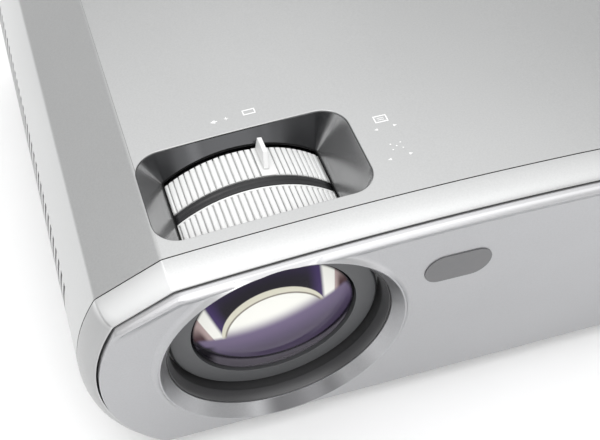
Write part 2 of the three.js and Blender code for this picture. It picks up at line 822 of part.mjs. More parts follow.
// Stadium-shaped prism for the infra-red window and its hole
function windowPrism(outset, y0, y1) {
  const radius = windowHeight / 2 + outset;
  const straight = (windowWidth - windowHeight) / 2;
  const shape = new THREE.Shape();
  shape.absarc(straight, 0, radius, -Math.PI / 2, Math.PI / 2);
  shape.absarc(-straight, 0, radius, Math.PI / 2, Math.PI * 3 / 2);
  const geometry = new THREE.ExtrudeGeometry(
    shape, { depth: y1 - y0, bevelEnabled: false, curveSegments: 8 },
  );
  geometry.rotateX(Math.PI / 2);
  geometry.translate(lensX + windowOffset, y1, lensHeight + windowRise);
  return solid(geometry);
}

// Front panel: bevelled plate, bright bead along the top and shoulders, raised collar around the lens
function makePanel() {
  const plate = loft([
    section(inset(panelLoop, panelEdgeBevel), 0),
    section(panelLoop, panelEdgeBevel),
    section(panelLoop, panelThickness),
  ]);
  const beadRing = loft([
    section(inset(panelLoop, panelEdgeBevel), -beadProud),
    section(inset(panelLoop, panelEdgeBevel / 4), 0),
    section(inset(panelLoop, panelEdgeBevel / 4), panelThickness),
  ]).subtract(loft([
    section(inset(panelLoop, beadWidth), -cutOverrun),
    section(inset(panelLoop, beadWidth), panelThickness + cutOverrun),
  ]));
  const reach = bodyWidth / 2;
  const bead = beadRing.intersect(
    block(-reach, reach, -cutOverrun, panelEdgeBevel, panelShoulderHeight, bodyHeight),
  );
  const collarGeometry = turned([
    [collarBoreRadius - cutOverrun, panelThickness],
    [collarBoreRadius - cutOverrun, collarBoreSetback],
    [collarBoreRadius, collarBoreSetback],
    [collarCrestRadius - collarRounding / 2, -collarCrestProud + collarRounding / 4],
    [collarCrestRadius, -collarCrestProud],
    [collarCrestRadius + collarRounding, -collarCrestProud + collarRounding / 4],
    [(collarCrestRadius + collarFootRadius) / 2 + collarRounding / 2, -collarCrestProud / 3],
    [collarFootRadius, 0],
    [collarFootRadius, panelThickness],
  ]);
  collarGeometry.translate(lensX, 0, lensHeight);
  const aboveEdge = loft(
    [section(inset(panelLoop, panelEdgeBevel / 4), -cutOverrun), section(panelLoop, panelThickness)],
  );
  const chin = block(
    lensX - collarFootRadius, lensX + collarFootRadius,
    -cutOverrun, bezelSetback - fitGap, 0, panelBottom + panelEdgeBevel,
  );
  const collar = solid(collarGeometry).intersect(aboveEdge.add(chin));
  return joined([plate, bead, collar])
    .subtract(rodY(collarBoreRadius, -cutOverrun, panelThickness + cutOverrun, lensX, lensHeight, lensSteps))
    .subtract(windowPrism(fitGap, -cutOverrun, panelThickness + cutOverrun));
}
addMesh('front_panel', makePanel(), panelSilver);
addMesh('ir_window', windowPrism(0, windowSetback, panelThickness), windowGrey);

// Shroud, barrel, cells and lenses, all turned about the lens axis
addMesh('lens_shroud', solid(turned([
  [shroudMouthRadius, shroudMouthSetback],
  [collarBoreRadius - fitGap, shroudMouthSetback],
  [collarBoreRadius - fitGap, panelThickness + fitGap],
  [shroudFlangeRadius, panelThickness + fitGap],
  [shroudFlangeRadius, panelThickness + fitGap + shroudFlangeThickness],
  [shroudTubeRadius, panelThickness + fitGap + shroudFlangeThickness],
  [shroudTubeRadius, shroudEnd],
  [shroudThroatRadius, shroudEnd],
  [shroudThroatRadius, shroudThroatDepth],
])), satinBlack, lensGroup);

addMesh('lens_barrel', solid(turned([
  [barrelBoreRadius, barrelFront],
  [barrelOuterRadius, barrelFront],
  [barrelOuterRadius, zoomRingBack + ringGap],
  [collarBoreRadius, zoomRingBack + ringGap],
  [collarBoreRadius, zoomRingBack + ringGap + barrelCollarDepth],
  [barrelOuterRadius, zoomRingBack + ringGap + barrelCollarDepth],
  [barrelOuterRadius, barrelEnd - barrelFlangeThickness],
  [barrelFlangeRadius, barrelEnd - barrelFlangeThickness],
  [barrelFlangeRadius, barrelEnd],
  [barrelThroatRadius, barrelEnd],
  [barrelThroatRadius, barrelBoreEnd],
  [barrelBoreRadius, barrelBoreEnd],
])), satinBlack, lensGroup);

const sleeveRadius = barrelBoreRadius - fitGap;
const glassSeat = glassEdgeEnd + glassCellGap;
addMesh('front_lens_cell', solid(turned([
  [glassRadius + glassCellGap, cellFaceDepth],
  [cellFaceRadius, cellFaceDepth],
  [cellRadius, cellFaceDepth + cellBevelDepth],
  [cellRadius, cellFaceDepth + cellDiscThickness],
  [sleeveRadius, cellFaceDepth + cellDiscThickness],
  [sleeveRadius, cellSleeveEnd],
  [cellLedgeRadius, cellSleeveEnd],
  [cellLedgeRadius, glassSeat],
  [glassRadius + glassCellGap, glassSeat],
])), lensGrey, lensGroup);

// Depths of a bulging lens face, from its rim in to the axis
function dome(rimRadius, rimDepth, bulge) {
  const sphere = (rimRadius ** 2 + bulge ** 2) / (2 * Math.abs(bulge));
  const points = [];
  for (let k = 0; k <= glassSteps; k += 1) {
    const radius = rimRadius * (1 - k / glassSteps);
    const rise = Math.sqrt(sphere ** 2 - radius ** 2) - Math.sqrt(sphere ** 2 - rimRadius ** 2);
    points.push([radius, rimDepth - Math.sign(bulge) * rise]);
  }
  return points;
}

addMesh('front_lens', solid(turned([
  [0, glassEdgeEnd],
  [glassRadius, glassEdgeEnd],
  ...dome(glassRadius, glassEdgeDepth, glassBulge),
])), coatedGlass, lensGroup);

const zoomLedgeFront = zoomCellFront + zoomCellDepth - zoomCellLedge;
addMesh('zoom_lens_cell', solid(turned([
  [zoomGlassRadius + fitGap, zoomCellFront],
  [sleeveRadius, zoomCellFront],
  [sleeveRadius, zoomCellFront + zoomCellDepth],
  [zoomLedgeRadius, zoomCellFront + zoomCellDepth],
  [zoomLedgeRadius, zoomLedgeFront],
  [zoomGlassRadius + fitGap, zoomLedgeFront],
], roundSteps * 2)), lensGrey, lensGroup);

addMesh('zoom_lens', solid(turned([
  [0, zoomLedgeFront - fitGap],
  [zoomGlassRadius, zoomLedgeFront - fitGap],
  ...dome(zoomGlassRadius, zoomLedgeFront - fitGap - zoomGlassEdge, zoomGlassBulge),
], roundSteps * 2)), clearGlass, lensGroup);

// Ribbed ring: flat crests with narrow V grooves between them, smooth over the patch
function ribbedRing(y0, y1, patch) {
  const loop = [];
  const step = 2 * Math.PI / ribCount;
  for (let k = 0; k < ribCount; k += 1) {
    const angle = k * step;
    const degrees = THREE.MathUtils.radToDeg(angle);
    const smooth = patch && degrees >= patchStartAngle && degrees <= patchEndAngle;
    const corners = [
      [smooth ? ringRadius : ringRadius - grooveDepth, angle],
      [ringRadius, angle + step * (1 - ribCrestShare) / 2],
      [ringRadius, angle + step * (1 + ribCrestShare) / 2],
    ];
    corners.forEach(
      ([radius, turn]) => loop.push(new THREE.Vector2(radius * Math.sin(turn), radius * Math.cos(turn))),
    );
  }
  return loft([section(loop, y0), section(loop, y1)]).subtract(
    rodY(ringBoreRadius, 0, bodyDepth, 0, 0, lensSteps),
  );
}

// Ramped fin that stands on the zoom ring
function makeFin() {
  const back = zoomRingBack - ringGap;
  const front = back - finLength;
  const shape = new THREE.Shape();
  shape.moveTo(front, ringRadius - grooveDepth * 2);
  shape.lineTo(front, ringRadius + ringGap);
  shape.lineTo(back - finFlatLength, ringRadius + finHeight);
  shape.lineTo(back, ringRadius + finHeight);
  shape.lineTo(back, ringRadius - grooveDepth * 2);
  const geometry = new THREE.ExtrudeGeometry(shape, { depth: finThickness, bevelEnabled: false });
  geometry.translate(0, 0, -finThickness / 2);
  geometry.rotateX(Math.PI / 2);
  geometry.rotateZ(Math.PI / 2);
  geometry.rotateY(THREE.MathUtils.degToRad(finAngle));
  return solid(geometry);
}

addMesh(
  'focus_ring', ribbedRing(focusRingFront, focusRingFront + focusRingDepth, false), ringWhite, lensGroup,
);
addMesh('zoom_ring', ribbedRing(zoomRingFront, zoomRingBack, true).add(makeFin()), ringWhite, lensGroup);
addMesh('ring_spacer', solid(turned([
  [ringBoreRadius, spacerFront],
  [spacerRadius, spacerFront],
  [spacerRadius, spacerFront + spacerDepth],
  [ringBoreRadius, spacerFront + spacerDepth],
])), satinBlack, lensGroup);

// Light engine behind the lens, with the image chip, its board and heat sink
addMesh('light_engine_case', joined([
  block(engineLeft, engineRight, engineFront, engineBack, engineBottom, engineTop),
]).subtract(rodY(engineBoreRadius, 0, bodyDepth, lensX, lensHeight))
  .subtract(block(
    lensX, bodyWidth / 2, lightAxisDepth - tunnelSize / 2, lightAxisDepth + tunnelSize / 2,
    lensHeight - tunnelSize / 2, lensHeight + tunnelSize / 2,
  )), castMetal);

function slab(x, z, halfWidth, halfTall, y0, y1) {
  return block(x - halfWidth, x + halfWidth, y0, y1, z - halfTall, z + halfTall);
}
const chipHalf = engineBoreRadius + chipMargin;
const boardHalf = collarBoreRadius - chipBoardInset;
addMesh(
  'image_chip', slab(lensX, lensHeight, chipHalf, chipHalf, chipFront, chipFront + chipThickness),
  satinBlack,
);
addMesh('chip_board', slab(
  lensX, lensHeight, boardHalf + chipBoardInset, boardHalf, chipBoardFront, chipBoardFront + boardThickness,
), boardGreen);

function makeHeatSink() {
  const [sinkHalfTall, finHalf] = [boardHalf - sinkInset, finPlateThickness / 2];
  const fins = [slab(lensX, lensHeight, boardHalf, sinkHalfTall, sinkFront, sinkFront + sinkBase)];
  for (let k = 0; k < finPlateCount; k += 1) {
    const x = lensX + (boardHalf - finHalf) * (2 * k / (finPlateCount - 1) - 1);
    fins.push(slab(x, lensHeight, finHalf, sinkHalfTall, sinkFront, sinkFront + sinkReach));
  }
  return joined(fins);
}
addMesh('chip_heat_sink', makeHeatSink(), brightMetal);

// Light tunnel, colour wheel and motor on the way from the lamp
addMesh('light_tunnel', block(
  engineRight + fitGap, tunnelEnd, lightAxisDepth - tunnelSize / 2 + fitGap,
  lightAxisDepth + tunnelSize / 2 - fitGap,
  lensHeight - tunnelSize / 2 + fitGap, lensHeight + tunnelSize / 2 - fitGap,
).subtract(block(
  engineRight, tunnelEnd + cutOverrun,
  lightAxisDepth - tunnelSize / 2 + fitGap + tunnelWall,
  lightAxisDepth + tunnelSize / 2 - fitGap - tunnelWall,
  lensHeight - tunnelSize / 2 + fitGap + tunnelWall, lensHeight + tunnelSize / 2 - fitGap - tunnelWall,
)), brightMetal);

addMesh('colour_wheel', rodX(colourWheelRadius, wheelLeft, wheelRight, wheelY, lensHeight, lensSteps)
  .add(rodX(wheelShaftRadius, wheelRight, motorBore, wheelY, lensHeight, lightSteps)), clearGlass);
addMesh('colour_wheel_motor', rodX(motorRadius, motorLeft, motorLeft + motorLength, wheelY, lensHeight)
  .subtract(rodX(wheelShaftRadius + fitGap, wheelRight, motorBore + fitGap, wheelY, lensHeight, lightSteps)),
brightMetal);

// Lamp: open-mouthed housing with the reflector and burner along X
function makeLampHousing() {
  const walls = block(lampLeft, lampRight, lampNear, lampFar, lampBottom, lampTop).subtract(block(
    lampLeft + lampWall, lampRight - lampWall, lampNear + lampWall, lampFar - lampWall,
    lampBottom + lampWall, lampTop - lampWall,
  )).subtract(rodX(
    lampMouthRadius, lampLeft - cutOverrun, lampLeft + cutOverrun, lightAxisDepth, lensHeight,
  ));
  const ventWidth = lampWall;
  let vented = walls;
  for (let k = 0; k < finPlateCount; k += 1) {
    const y = lampNear + lampTall * (k + 1) / (finPlateCount + 1);
    vented = vented.subtract(block(
      lampRight - 2 * lampWall, lampRight + lampWall, y - ventWidth / 2, y + ventWidth / 2,
      lensHeight - lampMouthRadius, lensHeight + lampMouthRadius,
    ));
  }
  const socketLeft = reflectorLeft + reflectorLength + burnerRadius;
  const cradle = block(
    socketLeft, lampRight - lampWall / 2, lightAxisDepth - lampSocketWidth / 2,
    lightAxisDepth + lampSocketWidth / 2,
    lampBottom + lampWall / 2, lensHeight + lampSocketWidth / 2,
  ).subtract(rodX(burnerRadius + fitGap, lampLeft, lampRight - lampWall / 2, lightAxisDepth, lensHeight))
    .subtract(
      rodX(reflectorNeckRadius + fitGap, lampLeft, socketLeft + burnerRadius, lightAxisDepth, lensHeight),
    );
  return vented.add(cradle);
}
addMesh('lamp_housing', makeLampHousing(), greyPlastic);

function makeReflector() {
  const outerSide = [];
  const innerSide = [];
  for (let k = 0; k <= reflectorSteps; k += 1) {
    const share = k / reflectorSteps;
    const radius = reflectorNeckRadius + (reflectorRadius - reflectorNeckRadius) * Math.sqrt(share);
    const depth = reflectorLength * (1 - share);
    outerSide.push([radius, depth]);
    innerSide.unshift([radius - reflectorWall, depth]);
  }
  const geometry = turned([
    ...outerSide,
    ...innerSide,
    [reflectorNeckRadius - reflectorWall, reflectorLength + burnerRadius],
    [reflectorNeckRadius, reflectorLength + burnerRadius],
  ], roundSteps);
  geometry.rotateZ(-Math.PI / 2);
  geometry.translate(reflectorLeft, lightAxisDepth, lensHeight);
  return solid(geometry);
}
addMesh('lamp_reflector', makeReflector(), brightMetal);

function makeBurner() {
  const right = lampRight - lampWall - fitGap;
  const bulbX = reflectorLeft + lampLength * burnerReachShare / 2;
  const bulb = new THREE.SphereGeometry(burnerBulbRadius, lightSteps, lightSteps / 2);
  bulb.translate(bulbX, lightAxisDepth, lensHeight);
  return rodX(burnerRadius, bulbX, right, lightAxisDepth, lensHeight, lightSteps).add(solid(bulb));
}
addMesh('lamp_burner', makeBurner(), clearGlass);

// Boards, ballast and speaker
addMesh('main_board', block(
  mainBoardLeft, mainBoardRight, mainBoardFront, mainBoardBack, mainBoardHeight,
  mainBoardHeight + boardThickness,
), boardGreen);

function makePowerSupply() {
  const top = supplyHeight + boardThickness;
  const middle = (supplyFront + supplyBack) / 2;
  const pieces = [block(supplyLeft, supplyRight, supplyFront, supplyBack, supplyHeight, top)];
  const left = supplyLeft + postInset;
  pieces.push(block(
    left, left + transformerWidth, middle - transformerDepth / 2, middle + transformerDepth / 2,
    supplyHeight, top + transformerTall,
  ));
  for (let k = 0; k < 2; k += 1) {
    const pitch = 2 * capacitorRadius + boardThickness;
    const x = left + transformerWidth + postInset + capacitorRadius + k * pitch;
    pieces.push(rodZ(capacitorRadius, supplyHeight, top + capacitorTall, x, middle));
  }
  pieces.push(block(
    supplyRight - coolingPlateThickness - boardThickness, supplyRight - boardThickness,
    supplyFront + boardThickness, supplyBack - boardThickness, supplyHeight, top + coolingPlateTall,
  ));
  return joined(pieces);
}
addMesh('power_supply', makePowerSupply(), boardGreen);

function makeBallast() {
  const bottom = innerFloor + fitGap;
  const left = mainBoardLeft + ballastInset;
  const right = left + mainBoardWidth * ballastLengthShare;
  const [near, far] = [mainBoardFront + ballastEdgeGap, mainBoardBack - ballastEdgeGap];
  const pieces = [block(left, right, near, far, bottom, bottom + ballastTall * 3 / 4)];
  for (let k = 0; k < ballastFinCount; k += 1) {
    const x = left + (right - left - finPlateThickness) * k / (ballastFinCount - 1);
    pieces.push(block(x, x + finPlateThickness, near, far, bottom, bottom + ballastTall));
  }
  return joined(pieces);
}
addMesh('lamp_ballast', makeBallast(), brightMetal);

function makeSpeaker() {
  const right = speakerLeft + speakerDepth;
  const coneRadius = speakerRadius * speakerConeShare;
  const cone = new THREE.CylinderGeometry(coneRadius, coneRadius / 3, speakerDepth / 2, roundSteps);
  cone.rotateZ(Math.PI / 2);
  cone.translate(speakerLeft + speakerDepth / 4, speakerPlace, speakerHeight);
  return rodX(speakerRadius, speakerLeft, right, speakerPlace, speakerHeight).subtract(solid(cone));
}
addMesh('speaker', makeSpeaker(), satinBlack);

addMesh('keypad_board', block(
  keypadLeft, keypadRight, keypadFront, keypadBack, keypadTop - boardThickness, keypadTop,
), boardGreen);

// Exhaust fan behind the right-hand slots
const [fanLow, fanHigh] = [fanCentreZ - fanSize / 2, fanCentreZ + fanSize / 2];
const rotorRight = fanRight - fanPlateThickness - fitGap;
function makeFanFrame() {
  const frame = block(fanLeft, fanRight, fanNear, fanFar, fanLow, fanHigh)
    .subtract(rodX(
      fanBoreRadius, fanLeft - cutOverrun, fanRight + cutOverrun, fanCentreY, fanCentreZ, roundSteps * 2,
    ));
  const struts = [rodX(fanHubRadius, fanRight - fanPlateThickness, fanRight, fanCentreY, fanCentreZ)];
  for (let k = 0; k < fanStrutCount; k += 1) {
    const reach = (fanBoreRadius + fanSize / 2) / 2;
    const arm = new THREE.BoxGeometry(fanPlateThickness, fanStrutWidth, reach);
    arm.translate(0, 0, reach / 2);
    arm.rotateX(2 * Math.PI * k / fanStrutCount);
    arm.translate(fanRight - fanPlateThickness / 2, fanCentreY, fanCentreZ);
    struts.push(solid(arm));
  }
  return joined([frame, ...struts])
    .subtract(
      rodX(fanShaftRadius + fitGap, fanLeft, fanRight + cutOverrun, fanCentreY, fanCentreZ, lightSteps),
    );
}
addMesh('exhaust_fan_frame', makeFanFrame(), satinBlack);

function makeFanRotor() {
  const left = fanLeft + fitGap;
  const pieces = [
    rodX(fanHubRadius - fitGap, left, rotorRight, fanCentreY, fanCentreZ),
    rodX(
      fanShaftRadius, rotorRight - fanPlateThickness, fanRight - fitGap, fanCentreY, fanCentreZ, lightSteps,
    ),
  ];
  const bladeReach = fanBoreRadius - fanTipGap - fanHubRadius / 2;
  for (let k = 0; k < fanBladeCount; k += 1) {
    const blade = new THREE.BoxGeometry(fanBladeThickness, fanBladeChord, bladeReach);
    blade.rotateZ(THREE.MathUtils.degToRad(-fanBladePitch));
    blade.translate(0, 0, fanHubRadius / 2 + bladeReach / 2);
    blade.rotateX(2 * Math.PI * k / fanBladeCount);
    blade.translate((left + rotorRight) / 2, fanCentreY, fanCentreZ);
    pieces.push(solid(blade));
  }
  const sweep = rodX(
    fanBoreRadius - fanTipGap, left, rotorRight + fanPlateThickness, fanCentreY, fanCentreZ, roundSteps * 2,
  );
  return joined(pieces).intersect(sweep);
}
addMesh('exhaust_fan_rotor', makeFanRotor(), satinBlack);

// Keypad buttons and indicator lights
for (const { name, x, y, radius } of buttons) {
  const top = crownZ(x) + buttonProud;
  const flangeTop = crownZ(Math.abs(x) + radius) - wall - buttonGap;
  const flangeBottom = keypadTop + buttonTravel + fitGap;
  const geometry = turned([
    [0, top],
    [radius - buttonRounding, top],
    [radius, top - buttonRounding],
    [radius, flangeTop],
    [radius + buttonFlange, flangeTop],
    [radius + buttonFlange, flangeBottom],
    [0, flangeBottom],
  ], buttonSteps);
  geometry.rotateX(Math.PI / 2);
  geometry.translate(x, y, 0);
  addMesh(name, solid(geometry), greyPlastic);
}
for (const { name, x, y } of lights) {
  addMesh(name, rodZ(lightRadius, keypadTop + fitGap, crownZ(x) + lightProud, x, y, lightSteps), clearGlass);
}

// Rear panel with its sockets, mains inlet and power rocker
const socketBottom = mainBoardHeight + boardThickness + fitGap;
const signalMiddle = socketBottom + signalPortHeight / 2;
const socketBack = rearPanelFace + socketProud;
const socketFront = socketBack - socketLength;
const moduleLeft = inletPlace - inletWidth / 2;
const moduleRight = rockerPlace + rockerWidth / 2 + inletFlange;
const moduleLow = inletHeight - inletTall / 2;
const moduleHigh = inletHeight + inletTall / 2;

// D-shaped outline of a signal port, wider along its upper side
function portPrism(x, outset, y0, y1) {
  const half = signalPortWidth / 2 + outset;
  const tall = signalPortHeight / 2 + outset;
  const slant = signalPortHeight / 5;
  const shape = new THREE.Shape();
  shape.moveTo(-half + slant, -tall);
  shape.lineTo(half - slant, -tall);
  shape.lineTo(half, tall);
  shape.lineTo(-half, tall);
  const geometry = new THREE.ExtrudeGeometry(shape, { depth: y1 - y0, bevelEnabled: false });
  geometry.rotateX(Math.PI / 2);
  geometry.translate(x, y1, signalMiddle);
  return solid(geometry);
}

function roundSocketMiddle(k) {
  return socketBottom + roundSocketRadii[k];
}

function makeRearPanel() {
  let panel = loft(
    [section(inset(innerLoop, fitGap), rearPanelBack), section(inset(innerLoop, fitGap), rearPanelFace)],
  );
  for (const x of signalPortPlaces) {
    panel = panel.subtract(portPrism(x, fitGap, rearPanelBack - cutOverrun, rearPanelFace + cutOverrun));
  }
  roundSocketPlaces.forEach((x, k) => {
    panel = panel.subtract(rodY(
      roundSocketRadii[k] + fitGap, rearPanelBack - cutOverrun, rearPanelFace + cutOverrun, x,
      roundSocketMiddle(k),
    ));
  });
  return panel.subtract(block(
    usbPlace - usbSize / 2 - fitGap, usbPlace + usbSize / 2 + fitGap, rearPanelBack - cutOverrun,
    rearPanelFace + cutOverrun, socketBottom - fitGap, socketBottom + usbSize + fitGap,
  )).subtract(block(
    moduleLeft - fitGap, moduleRight + fitGap, rearPanelBack - cutOverrun, rearPanelFace + cutOverrun,
    moduleLow - fitGap, moduleHigh + fitGap,
  ));
}
addMesh('rear_panel', makeRearPanel(), greyPlastic);

signalPortPlaces.forEach((x, k) => {
  const port = portPrism(x, 0, socketFront, socketBack)
    .subtract(portPrism(x, -socketWall, socketBack - socketProud, socketBack + cutOverrun));
  addMesh(['vga_port', 'serial_port'][k], port, brightMetal);
});
roundSocketPlaces.forEach((x, k) => {
  const radius = roundSocketRadii[k];
  const socket = rodY(radius, socketFront, socketBack, x, roundSocketMiddle(k))
    .subtract(rodY(
      radius * roundSocketBoreShare, rearPanelBack, socketBack + cutOverrun, x, roundSocketMiddle(k),
      lightSteps,
    ));
  addMesh(['s_video_socket', 'video_socket', 'audio_socket'][k], socket, satinBlack);
});
const usbTongueMiddle = socketBottom + usbSize / 2;
addMesh('usb_port', block(
  usbPlace - usbSize / 2, usbPlace + usbSize / 2, socketFront, socketBack, socketBottom,
  socketBottom + usbSize,
).subtract(block(
  usbPlace - usbCavityWidth / 2, usbPlace + usbCavityWidth / 2, socketFront + 2 * socketWall,
  socketBack + cutOverrun,
  socketBottom + socketWall, socketBottom + usbSize - socketWall,
)).add(block(
  usbPlace - usbCavityWidth / 4, usbPlace + usbCavityWidth / 4, socketFront + socketWall,
  socketBack - 2 * socketWall,
  usbTongueMiddle - usbTongueHeight / 2, usbTongueMiddle + usbTongueHeight / 2,
)), brightMetal);

// Mains inlet and switch well in one moulding, clipped into the rear panel from outside
function makeInlet() {
  const front = rearPanelFace + fitGap;
  const face = front + inletFlangeThickness;
  const body = block(moduleLeft, moduleRight, face - inletDepth, face, moduleLow, moduleHigh);
  const flange = block(
    moduleLeft - inletFlange, moduleRight + inletFlange, front, face, moduleLow - inletFlange,
    moduleHigh + inletFlange,
  );
  const cavity = block(
    inletPlace - inletCavityWidth / 2, inletPlace + inletCavityWidth / 2, face - inletCavityDepth,
    face + cutOverrun,
    inletHeight - inletCavityTall / 2, inletHeight + inletCavityTall / 2,
  );
  const rockerWell = block(
    rockerPlace - rockerWidth / 2, rockerPlace + rockerWidth / 2, face - rockerDepth - 2 * rockerBow,
    face + cutOverrun,
    inletHeight - rockerTall / 2 - rockerGap, inletHeight + rockerTall / 2 + rockerGap,
  );
  const pivots = rodX(
    rockerPivotRadius + fitGap, rockerPlace - rockerWidth / 2 - rockerGap,
    rockerPlace + rockerWidth / 2 + rockerGap,
    face - rockerDepth / 2, inletHeight, lightSteps,
  );
  const places = [[-pinSpacing / 2, -pinDrop / 2], [pinSpacing / 2, -pinDrop / 2], [0, earthPinRise]];
  const pins = places.map(([x, z]) => block(
    inletPlace + x - pinWidth / 2, inletPlace + x + pinWidth / 2, face - inletCavityDepth - socketWall,
    face - inletCavityDepth + pinLength, inletHeight + z - pinTall / 2, inletHeight + z + pinTall / 2,
  ));
  return joined([body.add(flange).subtract(cavity).subtract(rockerWell).subtract(pivots), ...pins]);
}
addMesh('mains_inlet', makeInlet(), satinBlack);

const inletFace = rearPanelFace + fitGap + inletFlangeThickness;
function makeRocker() {
  const half = rockerTall / 2;
  const shape = new THREE.Shape();
  shape.moveTo(-rockerDepth / 2, -half + rockerBow);
  shape.lineTo(rockerDepth / 2, -half);
  shape.lineTo(rockerDepth / 2 - rockerBow, 0);
  shape.lineTo(rockerDepth / 2, half);
  shape.lineTo(-rockerDepth / 2, half - rockerBow);
  const width = rockerWidth - 2 * fitGap;
  const geometry = new THREE.ExtrudeGeometry(shape, { depth: width, bevelEnabled: false });
  geometry.translate(0, 0, -width / 2);
  geometry.rotateX(Math.PI / 2);
  geometry.rotateZ(Math.PI / 2);
  const trunnions = rodX(
    rockerPivotRadius, -rockerWidth / 2 - rockerGap + fitGap, rockerWidth / 2 + rockerGap - fitGap, 0, 0,
    lightSteps,
  );
  return solid(geometry).add(trunnions);
}
const rocker = addMesh('power_rocker', makeRocker(), satinBlack);
rocker.position.set(rockerPlace, inletFace - rockerDepth / 2, inletHeight);
rocker.rotation.x = -THREE.MathUtils.degToRad(rockerTilt);

// Bottom case: floor with the lamp door, foot sleeve, ceiling-mount bosses and posts for what is inside
const ledgeTop = innerFloor + lampLedgeThickness;
const lampDoor = {
  left: lampLeft - lampDoorMargin,
  right: lampRight + lampDoorMargin + 2 * screwHeadRadius,
  near: lampNear - lampDoorMargin,
  far: lampFar + lampDoorMargin,
};
const screwX = lampDoor.right - screwInset;
const screwY = lampDoor.near + screwInset;

function posts(left, right, near, far, top) {
  const made = [];
  for (const x of [left + postInset, right - postInset]) {
    for (const y of [near + postInset, far - postInset]) {
      made.push(rodZ(postRadius, innerFloor - wall / 2, top - fitGap, x, y, lightSteps));
    }
  }
  return made;
}

function makeBottomCase() {
  const pieces = [
    shell.intersect(halfSpace(false)),
    block(
      lampDoor.left - lampLedgeOuter, lampDoor.right + lampLedgeOuter, lampDoor.near - lampLedgeOuter,
      lampDoor.far + lampLedgeOuter, innerFloor - seamGap, ledgeTop,
    ),
    ...posts(engineLeft, engineRight, engineFront, engineBack, engineBottom),
    ...posts(mainBoardLeft, mainBoardRight, mainBoardFront, mainBoardBack, mainBoardHeight),
    ...posts(supplyLeft, supplyRight, supplyFront, supplyBack, supplyHeight),
    rodZ(footPostRadius + fitGap + footSleeveWall, innerFloor - wall / 2, footSleeveTop, 0, frontFootDepth),
    block(fanLeft, fanRight, fanNear, fanNear + cradleThickness, innerFloor - wall / 2, fanLow - fitGap),
    block(fanLeft, fanRight, fanFar - cradleThickness, fanFar, innerFloor - wall / 2, fanLow - fitGap),
    block(
      motorLeft + fitGap, motorLeft + fitGap + motorPostWidth, wheelY - motorPostWidth / 2,
      wheelY + motorPostWidth / 2,
      innerFloor - wall / 2, lensHeight - motorRadius / 2,
    ).subtract(rodX(motorRadius + fitGap, wheelLeft, motorLeft + 2 * motorLength, wheelY, lensHeight)),
    block(
      speakerLeft + speakerDepth / 4, speakerLeft + speakerDepth / 4 + cradleThickness,
      speakerPlace - speakerRadius, speakerPlace + speakerRadius, innerFloor - wall / 2,
      speakerHeight - speakerRadius / 2,
    ).subtract(rodX(
      speakerRadius + fitGap, speakerLeft - cutOverrun, speakerLeft + 2 * speakerDepth, speakerPlace,
      speakerHeight,
    )),
    ...bossPlaces.map(
      ([x, y]) => rodZ(bossRadius, innerFloor - wall / 2, undersideHeight + bossHeight, x, y),
    ),
    rodZ(screwShankRadius * 2, innerFloor - seamGap, innerFloor + screwLength, screwX, screwY, lightSteps),
  ];
  let bottom = joined(pieces);
  bottom = bottom.subtract(block(
    lampDoor.left, lampDoor.right, lampDoor.near, lampDoor.far, -cutOverrun, innerFloor,
  ));
  bottom = bottom.subtract(block(
    lampDoor.left + lampLedge, lampDoor.right - lampLedge - 2 * screwHeadRadius, lampDoor.near + lampLedge,
    lampDoor.far - lampLedge, -cutOverrun, ledgeTop + cutOverrun,
  ));
  bottom = bottom.subtract(
    rodZ(footPostRadius + fitGap, -cutOverrun, footSleeveTop + cutOverrun, 0, frontFootDepth),
  );
  bottom = bottom.subtract(block(
    footButtonPlace - footButtonWidth / 2 - fitGap, footButtonPlace + footButtonWidth / 2 + fitGap,
    frontFootDepth - footButtonDepth / 2 - fitGap, frontFootDepth + footButtonDepth / 2 + fitGap,
    -cutOverrun, innerFloor + cutOverrun,
  ));
  for (const [x, y] of bossPlaces) {
    bottom = bottom.subtract(
      rodZ(bossBoreRadius, -cutOverrun, undersideHeight + bossHeight - wall, x, y, lightSteps),
    );
  }
  for (const side of [-1, 1]) {
    bottom = bottom.subtract(rodZ(
      rearFootRadius + fitGap, -cutOverrun, undersideHeight + rearFootSeat, side * rearFootPlace,
      rearFootDepth,
    ));
  }
  return bottom.subtract(rodZ(
    screwShankRadius + fitGap, -cutOverrun, innerFloor + screwLength - wall / 2, screwX, screwY, lightSteps,
  ));
}
addMesh('bottom_case', makeBottomCase(), silverPaint);

const lampCover = block(
  lampDoor.left + fitGap, lampDoor.right - fitGap, lampDoor.near + fitGap, lampDoor.far - fitGap,
  undersideHeight, undersideHeight + lampCoverThickness,
)
  .subtract(rodZ(screwHeadRadius + fitGap, -cutOverrun, undersideHeight + screwHeadHeight, screwX, screwY))
  .subtract(rodZ(screwShankRadius + fitGap, -cutOverrun, innerFloor, screwX, screwY, lightSteps));
addMesh('lamp_cover', lampCover, silverPaint);

addMesh('lamp_cover_screw', rodZ(
  screwHeadRadius, undersideHeight, undersideHeight + screwHeadHeight - fitGap, screwX, screwY,
).add(rodZ(screwShankRadius, undersideHeight, undersideHeight + screwLength, screwX, screwY, lightSteps))
  .subtract(block(
    screwX - screwHeadRadius - seamGap, screwX + screwHeadRadius + seamGap, screwY - screwSlotWidth / 2,
    screwY + screwSlotWidth / 2, 0, undersideHeight + screwSlotDepth,
  )), brightMetal);

// Feet: a post with a pad that slides down at the front, two rubber pads at the back
addMesh('elevator_foot', rodZ(footPostRadius, 0, footPostTop, 0, frontFootDepth)
  .add(rodZ(frontFootRadius, 0, footPadHeight, 0, frontFootDepth)), rubberGrey);

